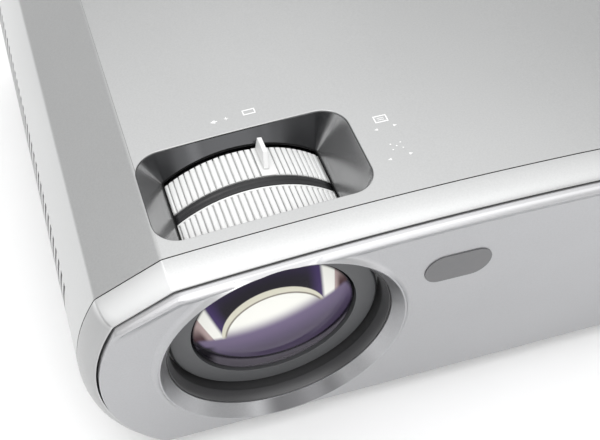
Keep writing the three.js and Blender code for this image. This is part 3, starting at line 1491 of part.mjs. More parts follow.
const buttonFlangeBottom = innerFloor + fitGap;
const sleeveOuter = footPostRadius + fitGap + footSleeveWall;
addMesh('foot_button', joined([
  block(
    footButtonPlace - footButtonWidth / 2, footButtonPlace + footButtonWidth / 2,
    frontFootDepth - footButtonDepth / 2, frontFootDepth + footButtonDepth / 2, undersideHeight,
    footButtonTop,
  ),
  block(
    footButtonPlace - footButtonWidth / 2 - footButtonFlange,
    footButtonPlace + footButtonWidth / 2 + footButtonFlange,
    frontFootDepth - footButtonDepth / 2 - footButtonFlange,
    frontFootDepth + footButtonDepth / 2 + footButtonFlange,
    buttonFlangeBottom, buttonFlangeBottom + footButtonFlange,
  ),
  block(
    sleeveOuter + fitGap, footButtonPlace, frontFootDepth - footButtonDepth / 4,
    frontFootDepth + footButtonDepth / 4,
    footButtonTop - footLatchHeight, footButtonTop,
  ),
]), greyPlastic);

for (const [side, name] of [[-1, 'rear_foot_left'], [1, 'rear_foot_right']]) {
  addMesh(name, rodZ(
    rearFootRadius, 0, undersideHeight + rearFootSeat - fitGap, side * rearFootPlace, rearFootDepth,
  ), rubberGrey);
}

export default projector;
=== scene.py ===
import json
from math import asin, cos, degrees, pi, radians, sin, sqrt

import bpy
from mathutils import Matrix, Vector


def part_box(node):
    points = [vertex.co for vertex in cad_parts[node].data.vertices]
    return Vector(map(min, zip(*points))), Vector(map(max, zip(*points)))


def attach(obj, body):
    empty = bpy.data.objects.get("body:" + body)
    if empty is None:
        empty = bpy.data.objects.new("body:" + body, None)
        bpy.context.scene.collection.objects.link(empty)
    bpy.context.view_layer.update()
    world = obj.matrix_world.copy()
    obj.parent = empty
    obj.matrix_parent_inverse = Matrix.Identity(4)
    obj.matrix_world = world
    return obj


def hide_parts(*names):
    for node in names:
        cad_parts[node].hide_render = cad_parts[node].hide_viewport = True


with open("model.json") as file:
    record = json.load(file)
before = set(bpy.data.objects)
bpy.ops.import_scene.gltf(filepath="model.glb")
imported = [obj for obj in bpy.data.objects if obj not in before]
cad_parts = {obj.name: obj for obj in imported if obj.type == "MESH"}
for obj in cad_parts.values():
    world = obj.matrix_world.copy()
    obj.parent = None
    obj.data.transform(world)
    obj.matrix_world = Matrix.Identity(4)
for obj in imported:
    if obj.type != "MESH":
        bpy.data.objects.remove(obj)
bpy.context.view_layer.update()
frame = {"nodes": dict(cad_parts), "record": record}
nodes = frame["nodes"]
mm = 0.001
closeEnough = 0.02  # points nearer than this are one point, in millimetres

# Outer shape of the housing in millimetres, as on the drawing of the solids.
# Depths count from the front panel's face, heights from the table.
housing = {
    "width": 226.2, "bottom": 5, "top": 78.2, "drop": 4.415, "plateau": 177.6,
    "shoulder": 65.2, "sideRadius": 52, "bulge": 37.5,
    "depth": 178, "seam": 9.1, "seamGap": 0.3, "parting": 22, "wall": 2.5,
}
panelSection = {
    "width": 218.4, "bottom": 6.5, "top": 75.75, "drop": 4.665, "plateau": 175.6,
    "shoulder": 63.6, "sideRadius": 46, "bulge": 39.2,
}
openingSection = {
    "width": 219.4, "bottom": 6, "top": 76.25, "drop": 4.665, "plateau": 176.1,
    "shoulder": 63.7, "sideRadius": 46.5, "bulge": 39.2,
}
collarProud = 1.5
sectionSteps = {"crown": 72, "side": 24}


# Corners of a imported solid's box, in millimetres
def boxOf(node):
    return [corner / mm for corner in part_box(node)]


def middleOf(node):
    low, high = boxOf(node)
    return (low + high) / 2


faceY = boxOf("front_panel")[0].y + collarProud
lensX = middleOf("front_lens").x
lensZ = middleOf("front_lens").z
lensCentre = Vector((lensX, faceY, lensZ)) * mm


# Radius of a section's crown
def archOf(shape):
    half = shape["plateau"] / 2
    return (half ** 2 + shape["drop"] ** 2) / (2 * shape["drop"])


def crownHeight(x):
    arch = archOf(housing)
    return housing["top"] - arch + sqrt(arch ** 2 - x ** 2)


# Angle and reach of a section's bulging side at a height
def sideAt(shape, height):
    angle = asin((height - shape["bulge"]) / shape["sideRadius"])
    return angle, shape["width"] / 2 + shape["sideRadius"] * (cos(angle) - 1)


# Selecting, editing and finishing, as done by hand


def deselectAll():
    if bpy.context.object and bpy.context.object.mode != "OBJECT":
        bpy.ops.object.mode_set(mode="OBJECT")
    bpy.ops.object.select_all(action="DESELECT")


def activate(piece):
    deselectAll()
    piece.select_set(True)
    bpy.context.view_layer.objects.active = piece
    return piece


def edit(piece, kind="VERT", everything=True):
    activate(piece)
    bpy.ops.object.mode_set(mode="EDIT")
    bpy.ops.mesh.select_mode(type=kind)
    bpy.ops.mesh.select_all(action="SELECT" if everything else "DESELECT")


def leaveEdit():
    bpy.ops.object.mode_set(mode="OBJECT")


def applyPlace(piece):
    activate(piece)
    bpy.ops.object.transform_apply(location=True, rotation=True, scale=True)
    return piece


def applyModifiers(piece):
    activate(piece)
    for modifier in list(piece.modifiers):
        bpy.ops.object.modifier_apply(modifier=modifier.name)
    return piece


def mergeAndTurnOut(piece, distance=closeEnough):
    edit(piece)
    bpy.ops.mesh.remove_doubles(threshold=distance * mm)
    bpy.ops.mesh.normals_make_consistent(inside=False)
    leaveEdit()
    return piece


def smooth(piece, angle=35, weighted=True):
    activate(piece)
    bpy.ops.object.shade_smooth_by_angle(angle=radians(angle))
    if weighted:
        normals = piece.modifiers.new("normals", "WEIGHTED_NORMAL")
        normals.keep_sharp = True
        applyModifiers(piece)
    return piece


def bevelEdges(piece, width, segments=2, angle=35):
    bevel = piece.modifiers.new("edges", "BEVEL")
    bevel.width = width * mm
    bevel.segments = segments
    bevel.limit_method = "ANGLE"
    bevel.angle_limit = radians(angle)
    bevel.harden_normals = False
    return applyModifiers(piece)


def combine(piece, other, operation):
    boolean = piece.modifiers.new("combine", "BOOLEAN")
    boolean.operation = operation
    boolean.solver = "MANIFOLD"
    boolean.object = other
    applyModifiers(piece)
    bpy.data.objects.remove(other)
    return piece


def gather(pieces, name):
    deselectAll()
    for piece in pieces:
        piece.select_set(True)
    bpy.context.view_layer.objects.active = pieces[0]
    if len(pieces) > 1:
        bpy.ops.object.join()
    pieces[0].name = name
    return pieces[0]


def copyOf(piece, name):
    twin = piece.copy()
    twin.data = piece.data.copy()
    twin.name = name
    bpy.context.scene.collection.objects.link(twin)
    return twin


def finish(piece, name, body, material, replaced=()):
    piece.name = name
    piece.data.name = name
    piece.data.materials.clear()
    piece.data.materials.append(material)
    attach(piece, body)
    if replaced:
        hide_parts(*replaced)


# Starting shapes: everything is given in millimetres


def block(name, low, high):
    middle = (Vector(low) + Vector(high)) / 2 * mm
    bpy.ops.mesh.primitive_cube_add(size=1, location=middle)
    piece = bpy.context.object
    piece.scale = (Vector(high) - Vector(low)) * mm
    piece.name = name
    return applyPlace(piece)


def rod(name, axis, radius, start, end, across, vertices=48):
    turns = {"y": (pi / 2, 0, 0), "z": (0, 0, 0)}
    middle = (start + end) / 2
    spots = {"y": (across[0], middle, across[1]), "z": (*across, middle)}
    bpy.ops.mesh.primitive_cylinder_add(
        vertices=vertices, radius=radius * mm, depth=abs(end - start) * mm,
        location=Vector(spots[axis]) * mm, rotation=turns[axis])
    piece = bpy.context.object
    piece.name = name
    return applyPlace(piece)


def pointAt(name, place):
    bpy.ops.mesh.primitive_plane_add(size=mm, location=Vector(place) * mm)
    piece = applyPlace(bpy.context.object)
    piece.name = name
    edit(piece)
    bpy.ops.mesh.merge(type="CENTER")
    return piece


def lines(*points):
    return [("line", *point) for point in points]


# Edges drawn from point to point: straight "line" moves, and "arc" moves about a centre by a turn in degrees
def drawChain(name, plane, at, start, moves):
    places = {"xz": lambda a, b: (a, at, b), "xy": lambda a, b: (a, b, at), "yz": lambda a, b: (at, a, b)}
    spinAxes = {"xz": (0, 1, 0), "xy": (0, 0, -1), "yz": (-1, 0, 0)}
    placeOf = places[plane]
    piece = pointAt(name, placeOf(*start))
    bpy.ops.mesh.select_all(action="SELECT")
    here = start
    for move in moves:
        if move[0] == "line":
            step = (Vector(placeOf(*move[1:])) - Vector(placeOf(*here))) * mm
            bpy.ops.mesh.extrude_region_move(TRANSFORM_OT_translate={"value": step})
            here = move[1:]
        else:
            centreA, centreB, turn, steps = move[1:]
            swing = radians(turn)
            middle = Vector(placeOf(centreA, centreB)) * mm
            bpy.ops.mesh.spin(steps=steps, angle=swing, center=middle, axis=spinAxes[plane])
            da, db = here[0] - centreA, here[1] - centreB
            here = (centreA + da * cos(swing) - db * sin(swing), centreB + da * sin(swing) + db * cos(swing))
    leaveEdit()
    return piece


def mergeLoop(ring):
    edit(ring)
    bpy.ops.mesh.remove_doubles(threshold=closeEnough * mm)
    leaveEdit()
    return ring


def fillOutline(piece):
    edit(mergeLoop(piece))
    bpy.ops.mesh.edge_face_add()
    leaveEdit()
    return piece


def extrudeAll(piece, step):
    edit(piece)
    bpy.ops.mesh.extrude_region_move(TRANSFORM_OT_translate={"value": Vector(step) * mm})
    leaveEdit()
    return piece


# A filled outline pulled out straight from near to far
def prismOf(name, plane, start, moves, near, far):
    along = {"xz": (0, 1, 0), "xy": (0, 0, 1), "yz": (1, 0, 0)}[plane]
    piece = fillOutline(drawChain(name, plane, near, start, moves))
    extrudeAll(piece, Vector(along) * (far - near))
    return mergeAndTurnOut(piece)


# The housing's rounded section, clockwise from the crown's left end
def sectionMoves(shape):
    halfFlat = shape["plateau"] / 2
    arch = archOf(shape)
    centre = shape["width"] / 2 - shape["sideRadius"]
    low, reachLow = sideAt(shape, shape["bottom"])
    high, reachHigh = sideAt(shape, shape["shoulder"])
    sideTurn = -degrees(high - low)
    start = (-halfFlat, shape["top"] - shape["drop"])
    return start, [
        ("arc", 0, shape["top"] - arch, -2 * degrees(asin(halfFlat / arch)), sectionSteps["crown"]),
        ("line", reachHigh, shape["shoulder"]),
        ("arc", centre, shape["bulge"], sideTurn, sectionSteps["side"]),
        ("line", -reachLow, shape["bottom"]),
        ("arc", -centre, shape["bulge"], sideTurn, sectionSteps["side"]),
        ("line", *start),
    ]


# A rounded rectangle, anticlockwise from the right side's rear end
def roundedMoves(left, right, front, back, radius, straightSteps=1, cornerSteps=8):
    start = (right, back - radius)
    stops = [
        ((right - radius, back - radius), (right - radius, back), (left + radius, back)),
        ((left + radius, back - radius), (left, back - radius), (left, front + radius)),
        ((left + radius, front + radius), (left + radius, front), (right - radius, front)),
        ((right - radius, front + radius), (right, front + radius), start),
    ]
    moves = []
    for centre, corner, target in stops:
        moves.append(("arc", *centre, 90, cornerSteps))
        for step in range(1, straightSteps + 1):
            share = step / straightSteps
            moves.append(("line", *(c + (t - c) * share for c, t in zip(corner, target))))
    return start, moves


def selectEdges(piece, wanted):
    edit(piece, "EDGE", everything=False)
    leaveEdit()
    points = piece.data.vertices
    for edge in piece.data.edges:
        a, b = (points[index].co / mm for index in edge.vertices)
        edge.select = wanted(a, b, edge)
    bpy.ops.object.mode_set(mode="EDIT")


def bevelSelected(offset, segments):
    bpy.ops.mesh.bevel(offset=offset * mm, segments=segments, affect="EDGES")
    leaveEdit()


# Rings of equal vertex counts, one after another in the mesh, are bridged in pairs
def loftOf(name, rings):
    count, pairs = len(rings[0].data.vertices), len(rings) - 1
    piece = gather(rings, name)
    for ring in range(pairs):
        level = ({ring}, {ring + 1})
        selectEdges(piece, lambda a, b, edge: {index // count for index in edge.vertices} in level)
        bpy.ops.mesh.bridge_edge_loops()
        leaveEdit()
    return piece


# A closed profile of (radius, place along the axis), spun into a round piece
def turned(name, start, moves, axis="y", centre=None, base=None, steps=96):
    centre = centre or (lensX, lensZ)
    base = faceY if base is None else base
    plane = "xz" if axis == "z" else "xy"
    shifted = [(kind, centre[0] + radius, base + along, *turn) for kind, radius, along, *turn in moves]
    piece = drawChain(name, plane, centre[1], (centre[0] + start[0], base + start[1]), shifted)
    middle = {"y": (centre[0], base, centre[1]), "z": (*centre, base)}[axis]
    spinAxis = {"y": (0, 1, 0), "z": (0, 0, 1)}[axis]
    edit(piece)
    bpy.ops.mesh.spin(steps=steps, angle=2 * pi, center=Vector(middle) * mm, axis=spinAxis)
    leaveEdit()
    return mergeAndTurnOut(piece)


# Turns a piece about the lens axis, clockwise as seen from the front
def turnPiece(piece, angle):
    edit(piece)
    bpy.ops.transform.rotate(value=-angle, orient_axis="Y", orient_type="GLOBAL", center_override=lensCentre)
    leaveEdit()


def thickened(piece, thickness, offset):
    wall = piece.modifiers.new("wall", "SOLIDIFY")
    wall.thickness = thickness * mm
    wall.offset = offset
    return wall


# Materials

noiseSpan = (0.3, 0.7)  # where nearly all of the noise's values lie
# Settings of the painted shade in grooves and gaps
grooves = {"samples": 8, "deepest": 0.35, "shade": (0.02, 0.02, 0.02)}
bumpDepth = 0.02


# Sockets of a node, linked or set
def fill(tree, node, values):
    for key, value in values.items():
        if isinstance(value, bpy.types.NodeSocket):
            tree.links.new(value, node.inputs[key])
        else:
            node.inputs[key].default_value = value
    return node


def addNode(tree, kind, values):
    return fill(tree, tree.nodes.new(kind), values)


def newMaterial(name):
    material = bpy.data.materials.new(name)
    material.use_nodes = True
    tree = material.node_tree
    coordinates = tree.nodes.new("ShaderNodeTexCoord")
    return material, tree, tree.nodes["Principled BSDF"], coordinates.outputs["Object"]


def noiseOf(tree, coordinates, scale, detail=2.0):
    noise = addNode(tree, "ShaderNodeTexNoise", {"Scale": scale, "Detail": detail, "Vector": coordinates})
    return noise.outputs["Fac"]


def mappedTo(tree, factor, low, high):
    return addNode(tree, "ShaderNodeMapRange", {
        "Value": factor, "From Min": noiseSpan[0], "From Max": noiseSpan[1], "To Min": low, "To Max": high,
    }).outputs["Result"]


def blended(tree, factor, first, second):
    ramp = addNode(tree, "ShaderNodeValToRGB", {"Fac": factor})
    for element, place, colour in zip(ramp.color_ramp.elements, noiseSpan, (first, second)):
        element.position = place
        element.color = (*colour, 1)
    return ramp.outputs["Color"]


def mathOf(tree, kind, *values):
    node = addNode(tree, "ShaderNodeMath", dict(enumerate(values)))
    node.operation = kind
    return node.outputs[0]


def partsOf(tree, vector):
    return addNode(tree, "ShaderNodeSeparateXYZ", {0: vector}).outputs


# Soft step from 0 to 1 while the value runs from one place to the other
def softStep(tree, value, start, end):
    span = addNode(tree, "ShaderNodeMapRange", {
        "Value": value, "From Min": min(start, end), "From Max": max(start, end)})
    span.interpolation_type = "SMOOTHSTEP"
    result = span.outputs["Result"]
    return result if end > start else mathOf(tree, "SUBTRACT", 1.0, result)


def distanceFrom(tree, across, upward, centre, reach=(1, 1)):
    squares = []
    for value, middle, size in zip((across, upward), centre, reach):
        away = mathOf(tree, "MULTIPLY_ADD", value, 1 / size, -middle / size)
        squares.append(mathOf(tree, "MULTIPLY", away, away))
    return mathOf(tree, "SQRT", mathOf(tree, "ADD", *squares))


def bothOf(tree, *masks):
    result = masks[0]
    for mask in masks[1:]:
        result = mathOf(tree, "MULTIPLY", result, mask)
    return result


def paintedOver(tree, under, colour, mask):
    mix = tree.nodes.new("ShaderNodeMix")
    mix.data_type = "RGBA"
    under, colour = ((*tone, 1) if isinstance(tone, tuple) else tone for tone in (under, colour))
    return fill(tree, mix, {0: mask, 6: under, 7: colour}).outputs[2]


# Painted shade: grooves and gaps narrower than the reach are painted darker, as the shade that falls in them
def paintedRecessShade(tree, colour, reach, strength):
    inside = addNode(tree, "ShaderNodeAmbientOcclusion", {"Distance": reach * mm})
    inside.samples = grooves["samples"]
    mask = addNode(tree, "ShaderNodeMapRange", {
        "Value": inside.outputs["AO"], "From Min": 1, "From Max": grooves["deepest"], "To Max": strength})
    return paintedOver(tree, colour, grooves["shade"], mask.outputs["Result"])


# Painted light and shade: another tone on flanks that face the aim, between two heights, lighter or darker as
# the light falls on them
def paintedLightAndShadeToward(tree, place, colour, tone, aim, start, end, low, high):
    facing = tree.nodes.new("ShaderNodeNewGeometry")
    toward = addNode(tree, "ShaderNodeVectorMath", {0: facing.outputs["Normal"], 1: aim})
    toward.operation = "DOT_PRODUCT"
    return paintedOver(tree, colour, tone, bothOf(
        tree, softStep(tree, toward.outputs["Value"], start, end),
        softStep(tree, partsOf(tree, place)["Z"], low * mm, high * mm)))


# Painted shade: a dark tone on walls that face forward, however steep they are, standing in for the dark
# reflection they show
def paintedShadeAhead(tree, colour, tone, start, end):
    facing = tree.nodes.new("ShaderNodeNewGeometry")
    level = addNode(tree, "ShaderNodeVectorMath", {0: facing.outputs["Normal"], 1: (1, 1, 0)})
    level.operation = "MULTIPLY"
    unit = addNode(tree, "ShaderNodeVectorMath", {0: level.outputs[0]})
    unit.operation = "NORMALIZE"
    return paintedOver(tree, colour, tone, softStep(tree, partsOf(tree, unit.outputs[0])["Y"], -start, -end))


# A moulded or painted surface: fine grain, slow tone changes and uneven gloss, with painted shade in
# recesses, painted light and shade on flanks and painted shade on forward walls where asked
def grained(name, look):
    material, tree, shader, place = newMaterial(name)
    fine = noiseOf(tree, place, look["grain"])
    broad = noiseOf(tree, place, look.get("patches", 18), 3.0)
    speckle = look.get("speckle", 0.25)
    mixed = mathOf(tree, "MULTIPLY_ADD", fine, speckle, mathOf(tree, "MULTIPLY", broad, 1 - speckle))
    colour = blended(tree, mixed, *look["tones"])
    # painted shade in grooves and gaps
    if "recessShade" in look:
        colour = paintedRecessShade(tree, colour, *look["recessShade"])
    # painted light and shade on flanks that face given aims
    for shadedFlank in look.get("shadedFlanks", []):
        colour = paintedLightAndShadeToward(tree, place, colour, *shadedFlank)
    # painted shade on walls that face forward
    if "ahead" in look:
        colour = paintedShadeAhead(tree, colour, *look["ahead"])
    bump = addNode(tree, "ShaderNodeBump", {
        "Strength": look.get("bump", 0.1), "Distance": bumpDepth * mm, "Height": fine})
    fill(tree, shader, {
        "Base Color": colour, "Roughness": mappedTo(tree, fine, *look["roughness"]),
        "Normal": bump.outputs["Normal"], "Metallic": look.get("metallic", 0),
        "Specular IOR Level": look.get("specular", 0.5)})
    return material


# Tones from dark to light, roughness from glossy to dull. Each shaded flank is a tone of painted light and
# shade, an aim, from where to where a face turns towards it, and the heights in millimetres between which the
# tone fades in.
paint = {
    "tones": ((0.525, 0.53, 0.53), (0.59, 0.595, 0.595)), "roughness": (0.28, 0.36), "metallic": 0.85,
    "grain": 2200, "speckle": 0.6, "bump": 0.12,
}
# Bezel: painted light on the shoulder facets and painted shade on the sides
bezelLightAndShade = {(0.78, 0.785, 0.785): (0.2, 0.32, 62, 65), (0.41, 0.412, 0.414): (0.25, 0.5, 66, 63)}
bezelShadedFlanks = [(tone, (side, 0, 0), *steps) for tone, steps in bezelLightAndShade.items() for side in (-1, 1)]
# Silver paint with painted shade in its grooves and gaps
silver = grained("silverPaint", {**paint, "recessShade": (1.2, 0.8)})
bezelSilver = grained("bezelSilver", {**paint, "recessShade": (1.2, 0.8), "shadedFlanks": bezelShadedFlanks})
# Panel: painted light on flanks that face up near the top edge, and painted shade over the collar's lower
# flare where a highlight would be
panelSilver = grained("panelSilver", {
    **paint, "tones": ((0.405, 0.407, 0.417), (0.46, 0.463, 0.475)), "shadedFlanks": [
        ((0.62, 0.62, 0.63), (0, 0, 1), 0.2, 0.65, 58, 66),
        ((0.11, 0.11, 0.114), (-0.185, -0.56, 0.808), 0.925, 0.985, 26, 16)]})
# Well walls: painted shade on the walls that face forward
wellGrey = grained("wellGrey", {
    "tones": ((0.39, 0.392, 0.396), (0.43, 0.432, 0.436)), "roughness": (0.2, 0.26), "metallic": 0.8,
    "grain": 1600, "speckle": 0.1, "bump": 0.04, "ahead": ((0.068, 0.069, 0.072), 0.62, 0.86)})
# White ring plastic with painted shade between its ribs
ringWhite = grained("ringWhite", {
    "tones": ((0.79, 0.795, 0.79), (0.85, 0.85, 0.845)), "roughness": (0.36, 0.46), "grain": 1500,
    "recessShade": (0.6, 0.4)})
satinBlack = grained("satinBlack", {
    "tones": ((0.012, 0.012, 0.013), (0.02, 0.02, 0.022)), "roughness": (0.3, 0.42), "grain": 1500})
lensGrey = grained("lensGrey", {
    "tones": ((0.075, 0.077, 0.08), (0.09, 0.092, 0.096)), "roughness": (0.4, 0.5), "grain": 1800})
windowGrey = grained("windowGrey", {
    "tones": ((0.12, 0.12, 0.124), (0.14, 0.14, 0.145)), "roughness": (0.14, 0.2), "grain": 700})
rubberGrey = grained("rubberGrey", {
    "tones": ((0.03, 0.03, 0.032), (0.045, 0.045, 0.047)), "roughness": (0.75, 0.88), "grain": 800,
    "bump": 0.4})
greyPlastic = grained("greyPlastic", {
    "tones": ((0.23, 0.24, 0.25), (0.27, 0.28, 0.29)), "roughness": (0.48, 0.6), "grain": 1400, "bump": 0.3})
castMetal = grained("castMetal", {
    "tones": ((0.42, 0.43, 0.44), (0.52, 0.53, 0.54)), "roughness": (0.4, 0.6), "metallic": 0.9, "grain": 400,
    "bump": 0.4})
boardGreen = grained("boardGreen", {
    "tones": ((0.02, 0.12, 0.05), (0.03, 0.17, 0.07)), "roughness": (0.35, 0.5), "grain": 300})
brightMetal = grained("brightMetal", {
    "tones": ((0.62, 0.63, 0.64), (0.72, 0.73, 0.74)), "roughness": (0.2, 0.34), "metallic": 1, "grain": 500})
markWhite = grained("markWhite", {
    "tones": ((0.86, 0.86, 0.86), (0.94, 0.94, 0.94)), "roughness": (0.4, 0.5), "grain": 900})
paleFloor = grained("paleFloor", {
    "tones": ((0.93, 0.93, 0.93), (0.95, 0.95, 0.95)), "roughness": (0.7, 0.8), "grain": 40, "patches": 4})


# Coated front lens with painted reflections and shade: dark purple depths, a painted bright crescent for the
# inner element's reflection and two painted bright slips of reflection beside it.
# Lengths are millimetres from the lens axis. A pair is where a zone's edge begins and where it ends.
def paintedLensReflections():
    lens = {
        "depths": (0.006, 0.004, 0.010), "violet": (0.045, 0.024, 0.105), "lowerReflection": (0.15, 0.115, 0.205),
        "lowestReflection": (0.055, 0.040, 0.080), "cream": (0.66, 0.64, 0.53), "white": (0.87, 0.87, 0.82),
        "line": (0.22, 0.20, 0.17), "rose": (0.42, 0.32, 0.31), "wine": (0.045, 0.010, 0.015),
        "rimBand": (0.105, 0.095, 0.115), "black": (0.006, 0.005, 0.008), "specular": 0.18,
        "slips": (((-15.5, 0.67), (0.933, 0.361), -1), ((13.72, 6.66), (0.997, 0.079), 1)),
        "violetEdge": (16.5, 27), "slipShade": (-5.5, -1.6), "slipShadeEnd": (3, 1), "roseEdge": (0.9, 1.7),
        "wineEdge": (2.2, 3.8), "wineHeight": (12, 5), "slipEdge": (-1.9, -0.7), "flareEdge": (1.6, 1.2),
        "flare": -0.06, "tilt": 0.27, "divide": (3.2, 5.2), "lowerReflectionFade": (4.5, -7),
        "ovalCentre": (0, 2.4), "ovalReach": (22, 15), "ovalEdge": (0.93, 1.0), "rimEdge": (1.01, 1.12),
        "blackSide": (-15.5, -18.5), "blackHeight": (1.5, -0.5), "whiteFade": (2.8, 8.6),
        "creamCentre": (-0.5, 1.5), "creamEdge": (14.2, 13.9), "innerEdge": (13.65, 13.45),
        "lineInner": (13.2, 13.55), "lineOuter": (14, 13.65), "glassEdge": (21.1, 21.9),
        "streaks": 140, "gloss": (0.03, 0.09),
    }
    material, tree, shader, place = newMaterial("reflectionPaintedGlass")
    parts = partsOf(tree, place)
    across = mathOf(tree, "MULTIPLY_ADD", parts["X"], 1 / mm, -lensX)
    upward = mathOf(tree, "MULTIPLY_ADD", parts["Z"], 1 / mm, -lensZ)
    radius = distanceFrom(tree, across, upward, (0, 0))
    height = mathOf(tree, "MULTIPLY_ADD", across, -lens["tilt"], upward)

    def zone(value, edge):
        return softStep(tree, value, *lens[edge])

    def painted(under, colour, *masks):
        tone = lens[colour] if isinstance(colour, str) else colour
        return paintedOver(tree, under, tone, bothOf(tree, *masks))

    # Painted shade: dark purple depths turning violet towards the rim
    colour = painted(lens["depths"], "violet", zone(radius, "violetEdge"))
    upperZone = zone(height, "divide")
    # Painted reflections: two bright slips, each with violet shade, rose and wine edges and a white core
    for (slipX, slipZ), (normalX, normalZ), side in lens["slips"]:
        offset = (-slipX * normalX - slipZ * normalZ) * side
        away = mathOf(tree, "MULTIPLY_ADD", across, normalX * side, offset)
        away = mathOf(tree, "MULTIPLY_ADD", upward, normalZ * side, away)
        flare = mathOf(tree, "MULTIPLY_ADD", upward, lens["flare"], away)
        colour = painted(colour, "violet", zone(away, "slipShade"), zone(away, "slipShadeEnd"))
        colour = painted(colour, "rose", zone(away, "roseEdge"))
        colour = painted(colour, "wine", zone(away, "wineEdge"), zone(height, "wineHeight"))
        colour = painted(colour, "white", zone(away, "slipEdge"), zone(flare, "flareEdge"))
    # Painted reflection and shade on the lower half: a purple glow, a dark oval, a grey rim band and a black
    # corner
    oval = distanceFrom(tree, across, upward, lens["ovalCentre"], lens["ovalReach"])
    low = painted(lens["lowerReflection"], "lowestReflection", zone(height, "lowerReflectionFade"))
    low = painted(low, "depths", zone(oval, "ovalEdge"))
    low = painted(low, "rimBand", zone(oval, "rimEdge"))
    low = painted(low, "black", zone(across, "blackSide"), zone(height, "blackHeight"))
    colour = painted(low, colour, upperZone)
    # Painted reflection: the inner element's bright crescent, white fading down into the lower tones, with a
    # cream band and a grey line around it
    inner = painted(low, "white", zone(height, "whiteFade"))
    creamReach = distanceFrom(tree, across, upward, lens["creamCentre"])
    colour = painted(colour, "cream", zone(creamReach, "creamEdge"), upperZone)
    colour = painted(colour, inner, zone(radius, "innerEdge"))
    colour = painted(colour, "line", zone(radius, "lineInner"), zone(radius, "lineOuter"), upperZone)
    # Painted shade: black at the glass's edge
    colour = painted(colour, "black", zone(radius, "glassEdge"))
    streak = noiseOf(tree, place, lens["streaks"])
    fill(tree, shader, {
        "Base Color": colour, "Roughness": mappedTo(tree, streak, *lens["gloss"]),
        "Specular IOR Level": lens["specular"]})
    return material


def clearPlastic():
    plastic = {
        "tones": ((0.80, 0.86, 0.88), (0.86, 0.92, 0.94)), "gloss": (0.03, 0.08), "clear": 0.7, "grain": 60,
    }
    material, tree, shader, place = newMaterial("clearGlass")
    streak = noiseOf(tree, place, plastic["grain"])
    fill(tree, shader, {
        "Base Color": blended(tree, streak, *plastic["tones"]), "Transmission Weight": plastic["clear"],
        "Roughness": mappedTo(tree, streak, *plastic["gloss"])})
    return material


reflectionPaintedGlass = paintedLensReflections()
slotMaterials = {
    "silver_plastic": silver, "panel_silver": panelSilver, "well_grey": wellGrey, "ring_white": ringWhite,
    "satin_black": satinBlack, "lens_grey": lensGrey, "coated_glass": reflectionPaintedGlass, "window_grey": windowGrey,
    "rubber_grey": rubberGrey, "grey_plastic": greyPlastic, "cast_metal": castMetal,
    "board_green": boardGreen, "bright_metal": brightMetal, "clear_glass": clearPlastic(),
}
for part in frame["record"]["subparts"]:
    meshData = nodes[part["node"]].data
    meshData.materials.clear()
    meshData.materials.append(slotMaterials[part["material_slot"]])
print("materials ready")

# Floor, light and camera


def studio():
    room = {
        "floorSize": 12, "strength": 1.54, "aim": (0, 0, 0.05),
        "heights": [  # sine of the elevation, brightness
            (0.0, 0.45), (0.25, 0.38), (0.42, 0.385), (0.5, 0.27), (0.66, 0.76), (0.75, 0.84), (0.85, 0.98),
            (1.0, 1.02)],
    }
    lights = {
        "overhead": {"place": (-0.1, -0.3, 1.6), "size": (1.8, 1.4), "power": 3.5},
        "frontSoftbox": {"place": (-0.1, -1.4, 0.9), "size": (1.6, 0.9), "power": 4.2},
        "leftSoftbox": {"place": (-0.75, -1.3, 1.35), "size": (0.7, 0.6), "power": 3.2},
    }
    bpy.ops.mesh.primitive_plane_add(size=room["floorSize"], location=(0, 0, 0))
    floor = bpy.context.object
    floor.name = "floor"
    floor.data.materials.append(paleFloor)
    world = bpy.data.worlds.new("paleRoom")
    bpy.context.scene.world = world
    world.use_nodes = True
    tree = world.node_tree
    direction = tree.nodes.new("ShaderNodeTexCoord")
    ramp = addNode(tree, "ShaderNodeValToRGB", {"Fac": partsOf(tree, direction.outputs["Generated"])["Z"]})
    ramp.color_ramp.elements[0].position, ramp.color_ramp.elements[1].position = 0, 1
    for share, value in room["heights"][1:-1]:
        ramp.color_ramp.elements.new(share)
    for element, (share, value) in zip(ramp.color_ramp.elements, room["heights"]):
        element.position = share
        element.color = (value, value, value, 1)
    fill(tree, tree.nodes["Background"], {"Color": ramp.outputs["Color"], "Strength": room["strength"]})
    for name, facts in lights.items():
        light = bpy.data.lights.new(name, "AREA")
        light.shape = "RECTANGLE"
        light.size, light.size_y = facts["size"]
        light.energy = facts["power"]
        lamp = bpy.data.objects.new(name, light)
        bpy.context.scene.collection.objects.link(lamp)
        lamp.location = facts["place"]
        toward = Vector(room["aim"]) - Vector(facts["place"])
        lamp.rotation_euler = toward.to_track_quat("-Z", "Y").to_euler()


